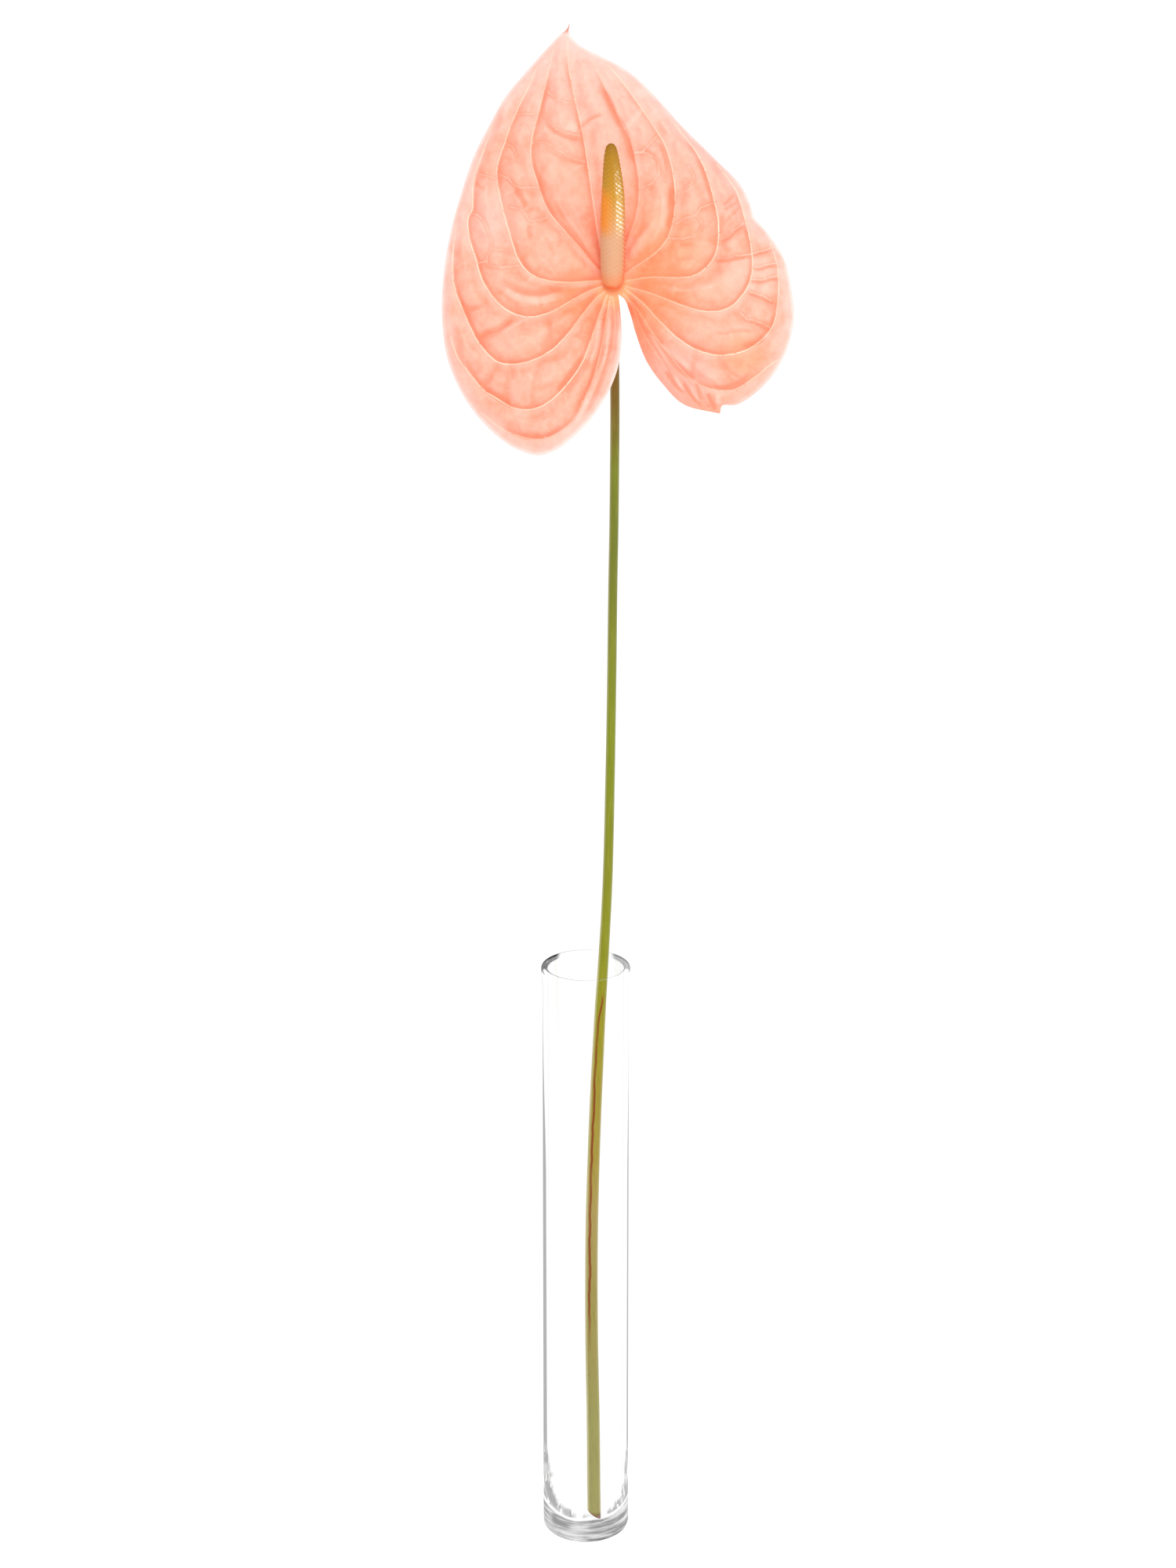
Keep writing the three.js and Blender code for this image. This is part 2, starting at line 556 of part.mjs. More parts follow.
// ---------------------------------------------------------------- spadix
function spadixGeometry() {
  const [across, along, front] = SPADIX_BASE;
  const base = bladePoint(across, along, front);
  const axis = new THREE.Vector3(0, -Math.sin(SPADIX_LEAN), Math.cos(SPADIX_LEAN));
  const profile = new THREE.SplineCurve(SPADIX_PROFILE.map(([s, r]) => new THREE.Vector2(s, r)));
  const rings = [];
  for (let row = 1; row < FLORET_ROWS; row += 1) {
    const at = profile.getPointAt(row / FLORET_ROWS);
    const bend = -SPADIX_TIP_BEND * smooth(40, 70, at.x);
    const centre = base.clone().addScaledVector(axis, at.x).addScaledVector(RIGHT, bend);
    const relief = FLORET_RELIEF * smooth(0, 3, at.y);
    rings.push(ringOf(centre, axis, FLORET_COLUMNS, (i) => at.y + relief * ((i + row) % 2 ? 0.5 : -0.5)));
  }
  return cutBeyond(loft(rings), bladePoint(0, 0, TOUCH_GAP), BLADE_FRONT.clone().negate());
}

// ---------------------------------------------------------------- the flower in its vase
function piece(name, geometry, material) {
  const mesh = new THREE.Mesh(geometry, new THREE.MeshStandardMaterial(material));
  mesh.name = name;
  return mesh;
}

const group = new THREE.Group();
group.name = "cut_anthurium_stem";
group.add(
  piece("vase", vaseGeometry(), {
    color: GLASS_COLOUR,
    roughness: 0.02,
    metalness: 0,
    transparent: true,
    opacity: 0.3,
  }),
  piece("stem", stemGeometry(), { color: STEM_COLOUR, roughness: 0.55, metalness: 0 }),
  piece("spathe", bladeGeometry(), { color: BLADE_COLOUR, roughness: 0.4, metalness: 0 }),
  piece("spadix", spadixGeometry(), { color: SPADIX_COLOUR, roughness: 0.45, metalness: 0 }),
);

export default group;
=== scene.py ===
# %% [markdown]
# # A cut anthurium in a glass cylinder
#
# This lesson dresses a simple model of a cut flower, which has four solids: a glass vase, a stem, the
# coloured leaf that people take for the flower, called the spathe, and the club of tiny true flowers in
# front of it, called the spadix. Each solid is replaced by a finer piece in the same place.
#
# The simple model comes first, because it fixes where everything stands: millimetres matter to a flower
# that has to touch its vase in two places.

# %% The simple model
import math

import bpy
import numpy as np
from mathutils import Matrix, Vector, noise
from mathutils.geometry import delaunay_2d_cdt


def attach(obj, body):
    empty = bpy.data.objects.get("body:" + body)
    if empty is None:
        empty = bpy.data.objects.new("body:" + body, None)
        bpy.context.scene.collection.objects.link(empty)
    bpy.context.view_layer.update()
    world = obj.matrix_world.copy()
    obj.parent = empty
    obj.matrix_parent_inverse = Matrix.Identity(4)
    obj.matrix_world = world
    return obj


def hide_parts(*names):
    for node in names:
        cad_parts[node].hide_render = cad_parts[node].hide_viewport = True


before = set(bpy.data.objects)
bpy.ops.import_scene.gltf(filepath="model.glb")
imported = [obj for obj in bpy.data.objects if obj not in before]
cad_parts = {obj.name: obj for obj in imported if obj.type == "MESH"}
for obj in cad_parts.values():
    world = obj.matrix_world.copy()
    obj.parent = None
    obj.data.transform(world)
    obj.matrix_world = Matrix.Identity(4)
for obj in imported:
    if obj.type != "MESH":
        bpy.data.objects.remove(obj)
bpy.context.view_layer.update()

# %% [markdown]
# ## Small helpers
#
# An operator acts on everything that is selected, so each step starts with nothing selected. A finished
# piece is told which body it moves with and which solid it stands for.

# %% Helpers for every piece
MM = 0.001


def nothing_selected():
    """Goes to object mode and selects nothing."""
    if bpy.context.object and bpy.context.object.mode != "OBJECT":
        bpy.ops.object.mode_set(mode="OBJECT")
    bpy.ops.object.select_all(action="DESELECT")


def only(piece):
    """Selects one piece and nothing else, in object mode."""
    nothing_selected()
    piece.select_set(True)
    bpy.context.view_layer.objects.active = piece


def open_up(piece):
    """Goes to edit mode on one piece, with all of it selected."""
    only(piece)
    bpy.ops.object.mode_set(mode="EDIT")
    bpy.ops.mesh.select_all(action="SELECT")


def faces_outwards():
    """Turns every face of the piece in edit mode outwards, and goes back to object mode."""
    bpy.ops.mesh.select_all(action="SELECT")
    bpy.ops.mesh.normals_make_consistent(inside=False)
    bpy.ops.object.mode_set(mode="OBJECT")


def stands_for(piece, node):
    """Lets a finished piece take the place of a solid of the simple model."""
    piece.name = piece.data.name = node + "_fine"
    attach(piece, "root")
    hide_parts(node)
    piece.data.calc_loop_triangles()
    print(node, "has", len(piece.data.loop_triangles), "triangles")


# %% [markdown]
# ## The camera
#
# The flower is tall and slim, so a long lens from about two metres keeps its lines straight. The camera
# stands a little above the flower and looks down on it by 19 degrees, which is how far the round rim of
# the vase opens into an oval.

# %% Camera
CAMERA_PLACE = (1.1 * MM, -1907 * MM, 1063 * MM)
LOOKS_DOWN = 19.4  # degrees
SENSOR_HEIGHT = 36
LENS = 99
scene = bpy.context.scene
nothing_selected()
bpy.ops.object.camera_add(location=CAMERA_PLACE)
camera = bpy.context.object
camera.rotation_euler = (math.radians(90 - LOOKS_DOWN), 0, 0)
camera.data.sensor_fit = "VERTICAL"
camera.data.sensor_height = SENSOR_HEIGHT
camera.data.lens = LENS
scene.camera = camera
print("lens", camera.data.lens, "mm")

# %% [markdown]
# ## The table and the light
#
# A flower portrait on white wants light from all sides: a large soft lamp in front, high above the
# flower, gives the leaf its gentle relief, a weaker one on the right puts a shine on it, and the pale
# table gives light back from below. The table shines by itself, as a lit white table does, so that it
# stays white behind the glass.
#
# Clear glass shows only what it bends into view. Were everything round it white, it would vanish. So the
# walls of the room are white to the eye and a pale grey to soft light, but a darker grey to the rays that
# glass mirrors or bends: where those end, the thick foot of a vase gets its grey streaks.

# %% Table
TABLE_RADIUS = 12
TABLE_TOP = (0, 0, -0.1 * MM)  # a hair below the vase, so that the two faces don't mingle
nothing_selected()
bpy.ops.mesh.primitive_circle_add(vertices=96, radius=TABLE_RADIUS, fill_type="NGON", location=TABLE_TOP)
table = bpy.context.object
table.name = "table"
print("table:", 2 * TABLE_RADIUS, "m wide")

# %% [markdown]
# A finish is a material made of many small nodes. Each could be placed and joined by hand in the node
# editor, but a finish here has dozens, so a few short helpers add them: sums, noise, smooth falls from one
# number to another, and tints that are laid over each other like glazes.


# %% Helpers for materials
def srgb(red, green, blue):
    """A colour as it is read off a screen, 0 to 255, turned into amounts of light."""
    parts = (c / 255 for c in (red, green, blue))
    return (*(c / 12.92 if c < 0.04045 else ((c + 0.055) / 1.055) ** 2.4 for c in parts), 1)


class Finish:
    """A new material, with short ways to add its nodes."""

    def __init__(self, name, piece):
        self.material = bpy.data.materials.new(name)
        self.material.use_nodes = True
        self.tree = self.material.node_tree
        self.shader = self.tree.nodes["Principled BSDF"]
        self.colour = None
        piece.data.materials.clear()
        piece.data.materials.append(self.material)

    def count(self):
        print(self.material.name, "has", len(self.tree.nodes), "nodes")

    def add(self, kind, inputs=(), **settings):
        node = self.tree.nodes.new("ShaderNode" + kind)
        for key, value in settings.items():
            setattr(node, key, value)
        for key, value in dict(inputs).items():
            if isinstance(value, bpy.types.NodeSocket):
                self.tree.links.new(value, node.inputs[key])
            else:
                node.inputs[key].default_value = value
        return node

    def set(self, **values):
        """Sets or feeds the shader's own sockets."""
        for key, value in values.items():
            socket = self.shader.inputs[key.replace("_", " ")]
            if isinstance(value, bpy.types.NodeSocket):
                self.tree.links.new(value, socket)
            else:
                socket.default_value = value

    def measure(self, name):
        """An attribute of the mesh as a number."""
        return self.add("Attribute", attribute_name=name).outputs["Fac"]

    def place(self, name):
        """An attribute of the mesh as a place."""
        return self.add("Attribute", attribute_name=name).outputs["Vector"]

    def maths(self, operation, a, b=0.0, c=0.0):
        return self.add("Math", {0: a, 1: b, 2: c}, operation=operation).outputs[0]

    def plus(self, a, b):
        return self.maths("ADD", a, b)

    def minus(self, a, b):
        return self.maths("SUBTRACT", a, b)

    def larger(self, a, b):
        return self.maths("MAXIMUM", a, b)

    def times(self, first, *others):
        for other in others:
            first = self.maths("MULTIPLY", first, other)
        return first

    def stretch(self, where, by):
        """A place with each of its three parts multiplied."""
        return self.add("VectorMath", {0: where, 1: by}, operation="MULTIPLY").outputs[0]

    def gap(self, where, to=(0, 0, 0)):
        """The distance between two places."""
        return self.add("VectorMath", {0: where, 1: to}, operation="DISTANCE").outputs["Value"]

    def fall(self, value, start, end, first=0.0, last=1.0):
        """Goes smoothly from first to last as the value goes from start to end."""
        inputs = {"Value": value, "From Min": start, "From Max": end, "To Min": first, "To Max": last}
        return self.add("MapRange", inputs, interpolation_type="SMOOTHSTEP").outputs[0]

    def ramp(self, value, stops):
        """Starts the colour: it changes with the value, from stop to stop."""
        node = self.add("ValToRGB", {0: value})
        marks = node.color_ramp.elements
        while len(marks) < len(stops):
            marks.new(0.5)
        for mark, (at, tone) in zip(marks, stops):
            mark.position = at
            mark.color = srgb(*tone)
        self.colour = node.outputs["Color"]

    def tint(self, share, *tone):
        """Lays a tone over the colour so far, as strongly as the share says."""
        inputs = {0: share, 6: self.colour, 7: srgb(*tone)}
        self.colour = self.add("Mix", inputs, data_type="RGBA").outputs[2]

    def bump(self, height, depth, strength=1.0):
        """Relief too fine to model, depth metres high."""
        node = self.add("Bump", {"Strength": strength, "Distance": depth, "Height": height})
        self.set(Normal=node.outputs[0])

    def cloud(self, where, scale, detail=2.0, roughness=0.5, distortion=0.0):
        """Noise between 0 and 1, whose patches are about 1 / scale wide."""
        inputs = {"Vector": where, "Scale": scale, "Detail": detail, "Roughness": roughness}
        return self.add("TexNoise", {**inputs, "Distortion": distortion}).outputs["Fac"]


# %% Finish of the table
white = Finish("white_table", table)
white.set(Base_Color=(0.2, 0.2, 0.2, 1), Roughness=0.9)
white.set(Emission_Color=(1, 1, 1, 1), Emission_Strength=0.9)
white.count()


# %% Lamps
def soft_lamp(name, place, size, power):
    """A square lamp that shines at the middle of the flower and its vase."""
    nothing_selected()
    bpy.ops.object.light_add(type="AREA", location=place)
    lamp = bpy.context.object
    lamp.name = name
    lamp.data.size = size
    lamp.data.energy = power
    lamp.rotation_euler = (LIT_PLACE - Vector(place)).to_track_quat("-Z", "Y").to_euler()


LIT_PLACE = Vector((0, 0, 0.6))
soft_lamp("soft_lamp_front", (0.1, -1.7, 2.2), 1.0, 27.5)
soft_lamp("soft_lamp_right", (1.5, -1.1, 1.0), 0.5, 5)

# %% Room
room = bpy.data.worlds.new("room")
scene.world = room
room.use_nodes = True
room_nodes, room_links = room.node_tree.nodes, room.node_tree.links


def wall(level):
    """A plain wall all round, as bright as the level says."""
    node = room_nodes.new("ShaderNodeBackground")
    node.inputs["Color"].default_value = (level, level, level, 1)
    return node.outputs[0]


def either(question, no, yes):
    """One wall or the other, by the kind of ray that looks at it."""
    node = room_nodes.new("ShaderNodeMixShader")
    for socket, feed in zip(node.inputs, (question, no, yes)):
        room_links.new(feed, socket)
    return node.outputs[0]


ray = room_nodes.new("ShaderNodeLightPath").outputs
lit = either(ray["Is Diffuse Ray"], wall(0.32), wall(0.6))
seen = either(ray["Is Camera Ray"], lit, wall(1.0))
room_links.new(seen, room_nodes["World Output"].inputs["Surface"])
scene.view_settings.view_transform = "Standard"
print("room:", len(room_nodes), "nodes")

# %% [markdown]
# ## The vase
#
# The vase is a drawn glass tube with a thick floor. Its half section could be typed in as a long list
# of points, but a glass blower thinks in corners: foot, heel, wall, lip, bore and bowl. So the section
# is drawn corner by corner with the extrude operator, each corner is rounded with a bevel, and the
# whole is spun once round the axis.

# %% Vase: the section
VASE_CORNERS = [  # radius and height of each corner, and how far it is rounded
    (21, 0, 4, 9),
    (20.6, 291, 3, 4),
    (21.2, 295.5, 2, 4),
    (21.2, 300, 1.45, 7),
    (18.2, 300, 1.45, 7),
    (18.2, 10, 5, 10),
    (0, 10, 0, 0),
]
nothing_selected()
bpy.ops.mesh.primitive_plane_add(size=1 * MM, location=(0, 0, 0))
vase = bpy.context.object
bpy.ops.object.mode_set(mode="EDIT")
bpy.ops.mesh.merge(type="CENTER")
pen = (0, 0)
for radius, height, _, _ in VASE_CORNERS:
    step = ((radius - pen[0]) * MM, 0, (height - pen[1]) * MM)
    bpy.ops.mesh.extrude_region_move(TRANSFORM_OT_translate={"value": step})
    pen = (radius, height)


SAME_PLACE = 0.02 * MM


def select_point(piece, place):
    """Selects the points of a mesh at a place, in edit mode."""
    bpy.ops.mesh.select_all(action="DESELECT")
    bpy.ops.object.mode_set(mode="OBJECT")
    for point in piece.data.vertices:
        point.select = (point.co - Vector(place)).length < SAME_PLACE
    bpy.ops.object.mode_set(mode="EDIT")


for radius, height, rounding, steps in VASE_CORNERS:
    if rounding:
        select_point(vase, (radius * MM, 0, height * MM))
        bpy.ops.mesh.bevel(offset=rounding * MM, segments=steps, affect="VERTICES")
print("section of the vase:", len(vase.data.vertices), "points")

# %% Vase: one turn
TURN_STEPS = 144
MERGED = 0.001 * MM  # points nearer to each other than this become one
bpy.ops.mesh.select_all(action="SELECT")
bpy.ops.mesh.spin(steps=TURN_STEPS, angle=2 * math.pi, center=(0, 0, 0), axis=(0, 0, 1))
bpy.ops.mesh.select_all(action="SELECT")
bpy.ops.mesh.remove_doubles(threshold=MERGED)
faces_outwards()
bpy.ops.object.shade_smooth_by_angle(angle=math.radians(40))
stands_for(vase, "vase")

# %% [markdown]
# ## The glass
#
# Two kinds of glass meet in a drawn vase. The floor is thick and uneven from the mould, so it bends light
# into streaks. The wall is thin and even, bends next to nothing, and is seen only as a faint gloss and as
# grey lines where the eye looks along it. A glass shader could do both, but in so thin a wall it would
# need a whole room to mirror. So each gets a shader of its own, and the height above the table, in
# metres, mixes the two.

# %% Finish of the vase: thick floor and thin wall
glass = Finish("clear_glass", vase)
glass.set(Base_Color=(0.97, 0.975, 0.975, 1), Roughness=0.0, IOR=1.48, Transmission_Weight=1.0)
where = glass.add("TexCoord").outputs["Object"]
aside, back, height = glass.add("SeparateXYZ", {0: where}).outputs
radius = glass.gap(glass.stretch(where, (1, 1, 0)))
slant = glass.add("LayerWeight", {"Blend": 0.5}).outputs["Facing"]
near_side = glass.minus(1.0, glass.add("NewGeometry").outputs["Backfacing"])
wobble = glass.fall(glass.cloud(where, 55.0), 0.3, 0.7, -0.0006, 0.0006)
low = glass.minus(height, glass.plus(wobble, glass.fall(slant, 0.15, 0.8, 0, 0.0035)))
thick = glass.times(glass.fall(low, 0.0138, 0.0126), glass.fall(radius, 0.0186, 0.019))
thick = glass.times(glass.larger(thick, glass.fall(height, 0.004, 0.003)), near_side)
glass.count()


# %% Finish of the vase: the two shaders
def either_glass(share, first, second):
    return glass.add("MixShader", {0: share, 1: first, 2: second}).outputs[0]


def clear(level):
    """See-through, and as dark as the level says: 1 lets all light by."""
    return glass.add("BsdfTransparent", {"Color": level}).outputs[0]


drawn = glass.stretch(where, (45, 45, 520))
glass.bump(glass.times(glass.cloud(drawn, 1.0, detail=3), thick), 0.0015)
shine = glass.add("BsdfGlossy", {"Color": (0.9, 0.9, 0.9, 1), "Roughness": 0.02}).outputs[0]
mirrored = glass.fall(glass.add("Fresnel", {"IOR": 1.45}).outputs[0], 0.05, 1.0, 0.0, 0.12)
mirrored = glass.times(mirrored, glass.fall(height, 0.0101, 0.011))
thin = either_glass(mirrored, clear((0.995, 0.995, 0.995, 1)), shine)
body = either_glass(thick, thin, glass.shader.outputs[0])
glass.count()

# %% [markdown]
# The grey lines are painted shade, in place of what a real wall would mirror and bend into view there.
# They follow how slantwise the outer face is seen, and lie on the near side only, or they would show
# twice. They are faint under the rim and get wider downwards. Near the floor they spread to wedges that
# meet like a bowl, because the bore ends round there, and painted sparkles of light break them up. The
# heel is streaked all round, as drawn glass is, with painted grey shade that is darkest at its lower
# edge. The lip was melted round, and a dark glint is painted in it at the back on both sides.

# %% Finish of the vase: its painted grey lines
WEDGES = ((0.050, 0.034, 0.17), (0.034, 0.022, 0.1), (0.024, 0.0145, 0.32))  # from, to, how much wider
lip = glass.fall(height, 0.2979, 0.2987)
outer = glass.larger(glass.fall(radius, 0.0188, 0.0196), lip)
right = glass.fall(aside, -0.005, 0.005)
start = glass.plus(glass.fall(height, 0.3, 0.19, 0.9, 0.64), glass.times(right, 0.12))
for top, bottom, wider in WEDGES:
    start = glass.minus(start, glass.fall(height, top, bottom, 0, wider))
start = glass.plus(start, glass.times(lip, -0.35))
uneven = glass.fall(glass.cloud(where, 150.0), 0.3, 0.7, -0.03, 0.11)
uneven = glass.times(uneven, glass.fall(height, 0.05, 0.03))
past = glass.minus(glass.plus(slant, uneven), start)
# a thin painted grey line where the wall is seen edgewise, just under the lip
thread = glass.times(glass.fall(slant, 0.76, 0.84, 0, 0.14), glass.fall(height, 0.2979, 0.296))
line = glass.times(glass.fall(past, 0, glass.fall(height, 0.05, 0.03, 0.05, 0.2)), outer)
line = glass.times(glass.larger(line, thread), glass.fall(low, 0.0144, 0.0152), near_side)
glass.count()

# %% Finish of the vase: painted sparkles low in the wall
# painted highlights: white spots where the grey lines are cut away
sparkle = glass.fall(glass.cloud(glass.stretch(where, (1, 1, 0.35)), 420.0, detail=1), 0.57, 0.62)
sparkle = glass.times(sparkle, glass.fall(height, 0.048, 0.04))
mottled = glass.fall(glass.cloud(where, 160.0), 0.3, 0.7, 0.6, 1.15)
line = glass.times(line, glass.maths("MULTIPLY_ADD", sparkle, -0.9, 1.0))
line = glass.times(line, glass.larger(mottled, glass.fall(height, 0.04, 0.05)))
line = glass.maths("MINIMUM", line, 1.0)
line = glass.times(line, glass.maths("MULTIPLY_ADD", right, -0.1, 1.0))
glass.count()

# %% Finish of the vase: the painted glint in its lip and the painted shade of its heel
# a painted dark glint in the lip, at the back on both sides
both_sides = glass.fall(glass.maths("ABSOLUTE", aside), 0.0115, 0.0145)
glint = glass.times(lip, both_sides, glass.fall(back, -0.006, -0.003))
turned = glass.stretch(where, (90, 90, 1500))
glint = glass.times(glint, glass.fall(glass.cloud(turned, 1.0), 0.35, 0.65, 0.8, 1.0))
# painted grey shade in the heel, streaked as drawn glass is, in place of what its thick glass bends into
# view
streaks = glass.fall(glass.cloud(drawn, 1.0, detail=4), 0.36, 0.6, 0.3, 1.0)
patches = glass.fall(glass.cloud(where, 75.0), 0.35, 0.65, 0.65, 1.05)
heel = glass.times(thick, streaks, patches)
# painted shade, darkest at the lower edge of the heel
edge = glass.times(glass.fall(height, 0.0045, 0.0025), thick)
edge = glass.times(edge, glass.fall(glass.cloud(where, 70.0), 0.35, 0.6, 0.3, 1.0))
grey = glass.larger(glass.larger(line, glint), glass.larger(heel, edge))
glass.count()

# %% Finish of the vase: all of its parts together
glint_depth = glass.times(glint, glass.maths("MULTIPLY_ADD", right, 0.22, -0.24))
level = glass.minus(glass.plus(glint_depth, 0.43), glass.times(thick, 0.12))
level = glass.minus(level, glass.times(edge, 0.1))
body = either_glass(grey, body, clear(level))
path = glass.add("LightPath").outputs
soft_ray = glass.larger(path["Is Shadow Ray"], path["Is Diffuse Ray"])
body = either_glass(soft_ray, body, clear((0.96, 0.96, 0.96, 1)))
glass.tree.links.new(body, glass.tree.nodes["Material Output"].inputs["Surface"])
glass.count()

# %% [markdown]
# ## Lines through points
#
# Stem, veins and margins are all smooth lines through a few measured points. One helper makes them:
# it bends gently through every point and gives back points at even steps, in two dimensions or three.


# %% Smooth lines
SAMPLES = 32  # places worked out between two given points


def chain_through(points, step):
    """A smooth chain through the given points, its points about step apart."""
    p = np.array(points, float)
    p = np.vstack([2 * p[0] - p[1], p, 2 * p[-1] - p[-2]])
    fine = []
    for a, b, c, d in zip(p, p[1:], p[2:], p[3:]):
        da, db, dc = (math.sqrt(np.linalg.norm(v)) for v in (b - a, c - b, d - c))
        out = ((b - a) / da - (c - a) / (da + db) + (c - b) / db) * db
        into = ((c - b) / db - (d - b) / (db + dc) + (d - c) / dc) * db
        t = np.linspace(0, 1, SAMPLES, endpoint=False)[:, None]
        fine.append(b + out * t + (3 * (c - b) - 2 * out - into) * t**2 + (2 * (b - c) + out + into) * t**3)
    fine = np.vstack([*fine, p[-2:-1]])
    run = np.r_[0, np.cumsum(np.linalg.norm(np.diff(fine, axis=0), axis=1))]
    marks = np.linspace(0, run[-1], max(3, round(run[-1] / step) + 1))
    return np.column_stack([np.interp(marks, run, fine[:, k]) for k in range(p.shape[1])])


# %% [markdown]
# ## Where the flower sits
#
# Stem, spathe and spadix meet at the hub. The spathe leans back from the upright, so it has a frame of
# its own: x to the right, y towards its tip, and depth out in front. All its measures are in that frame.

# %% The spathe's own frame
HUB = np.array([12.8, 14, 625])
LEAN = math.radians(22)
ACROSS = np.array([1.0, 0, 0])
ALONG = np.array([0, math.sin(LEAN), math.cos(LEAN)])
FRONT = np.array([0, -math.cos(LEAN), math.sin(LEAN)])
print("hub:", HUB[2], "mm above the table")


def in_room(x, y, depth):
    """A place of the spathe's own frame, in millimetres from the foot of the vase."""
    x, y, depth = (np.asarray(v, float)[..., None] for v in (x, y, depth))
    return HUB + x * ACROSS + y * ALONG + depth * FRONT


# %% [markdown]
# ## The stem
#
# The stem is a long round stalk that bends slowly and gets thinner towards the flower. It could be
# extruded ring by ring, but a curve with a round section is the tool for it: each point of the curve
# has its own thickness. The curve is turned into a mesh, the florist's slanted cut is made at its foot,
# and its top is cut off where it meets the back of the spathe.

# %% Stem: a thick line
STEM_LINE = [
    [4.15, -12.8, 9],
    [3.66, -7.6, 60],
    [2.89, -2.6, 110],
    [2.96, 2.3, 160],
    [4.25, 6.1, 210],
    [6.34, 9.9, 260],
    [8.58, 12.8, 300],
    [10.46, 14.7, 340],
    [11.55, 16.9, 390],
    [12.24, 19.1, 440],
    [12.81, 20.6, 490],
    [13.32, 21.7, 530],
    [13.51, 22.5, 560],
    [13.39, 21.9, 585],
    [13.17, 20.2, 605],
    [12.97, 16.1, 619],
    [12.8, 13, 626],
]
STEM_SHARES = [0, 0.25, 0.38, 0.5, 0.65, 0.78, 0.92, 1]
STEM_DIAMETERS = [6.6, 6.1, 5.7, 4.75, 4.4, 4.25, 4.25, 4.1]
STEM_PITCH = 1.5
ROUNDNESS = 22  # how finely the curve's section is cut
stem_middle = chain_through(STEM_LINE, STEM_PITCH)
stem_radius = np.interp(np.linspace(0, 1, len(stem_middle)), STEM_SHARES, STEM_DIAMETERS) / 2
nothing_selected()
bpy.ops.curve.primitive_bezier_curve_add()
stem = bpy.context.object
stem.location = (0, 0, 0)
stem.data.dimensions = "3D"
stem.data.splines.remove(stem.data.splines[0])
line = stem.data.splines.new("POLY")
line.points.add(len(stem_middle) - 1)
for point, place, radius in zip(line.points, stem_middle * MM, stem_radius):
    point.co = (*place, 1)
    point.radius = radius
stem.data.bevel_depth = MM
stem.data.bevel_resolution = ROUNDNESS
stem.data.use_fill_caps = True
bpy.ops.object.convert(target="MESH")
stem = bpy.context.object
print("stem:", round(float(np.linalg.norm(np.diff(stem_middle, axis=0), axis=1).sum())), "mm long")


# %% Stem: the two cuts
def cut_off(piece, place, beyond):
    """Cuts a closed mesh by a plane, closes it, and drops what lies beyond."""
    open_up(piece)
    bpy.ops.mesh.remove_doubles(threshold=MERGED)
    place = [float(c) * MM for c in place]
    bpy.ops.mesh.bisect(plane_co=place, plane_no=beyond, use_fill=True, clear_outer=True)
    faces_outwards()


FOOT_CUT, FOOT_CUT_FACES = (4.15, -12.8, 12.9), (-0.7, 0, -1)
STEM_ENDS_AT = -0.9  # a tenth of a millimetre inside the sheet, whose back is at -1
cut_off(stem, FOOT_CUT, FOOT_CUT_FACES)
cut_off(stem, in_room(0, 0, STEM_ENDS_AT), FRONT)
print("stem:", len(stem.data.polygons), "faces after its cuts")


# %% [markdown]
# A grown stalk isn't a drawn wire. It has faint ribs along it, eleven broad and twenty-three fine, and its
# thickness wanders a little. All of this is a few hundredths of a millimetre high.


# %% Stem: ribs
def points_of(piece):
    """The places of a mesh's points, in millimetres."""
    flat = np.empty(3 * len(piece.data.vertices), np.float32)
    piece.data.vertices.foreach_get("co", flat)
    return flat.reshape(-1, 3).astype(float) / MM


def move_points(piece, places):
    piece.data.vertices.foreach_set("co", (places * MM).astype(np.float32).ravel())
    piece.data.update()


def give(piece, name, values, kind="FLOAT"):
    """Gives every point of a mesh a number or a place, which its finish can read."""
    made = piece.data.attributes.new(name, kind, "POINT")
    flat = np.ascontiguousarray(values, np.float32).ravel()
    made.data.foreach_set("value" if kind == "FLOAT" else "vector", flat)


skin = points_of(stem)
nearest = np.array([np.interp(skin[:, 2], stem_middle[:, 2], stem_middle[:, k]) for k in (0, 1)]).T
turn = np.arctan2(skin[:, 0] - nearest[:, 0], nearest[:, 1] - skin[:, 1])
height = skin[:, 2]
rib = 0.035 * np.sin(11 * turn + 0.01 * height) + 0.02 * np.sin(23 * turn - 0.013 * height)
waver = 0.05 * np.sin(height / 17 + 1.3 * np.sin(height / 41)) * np.cos(turn + height / 60)
outward = skin[:, :2] - nearest
outward /= np.maximum(np.linalg.norm(outward, axis=1, keepdims=True), 0.1)
RIBBED_FROM, RIBBED_TO = 25, 600  # the ends stay as they were cut
ribbed = (height > RIBBED_FROM) & (height < RIBBED_TO)
skin[:, :2] += outward * ((rib + waver) * ribbed)[:, None]
move_points(stem, skin)
give(stem, "turn", turn)
only(stem)
bpy.ops.object.shade_smooth_by_angle(angle=math.radians(50))
stands_for(stem, "stem")
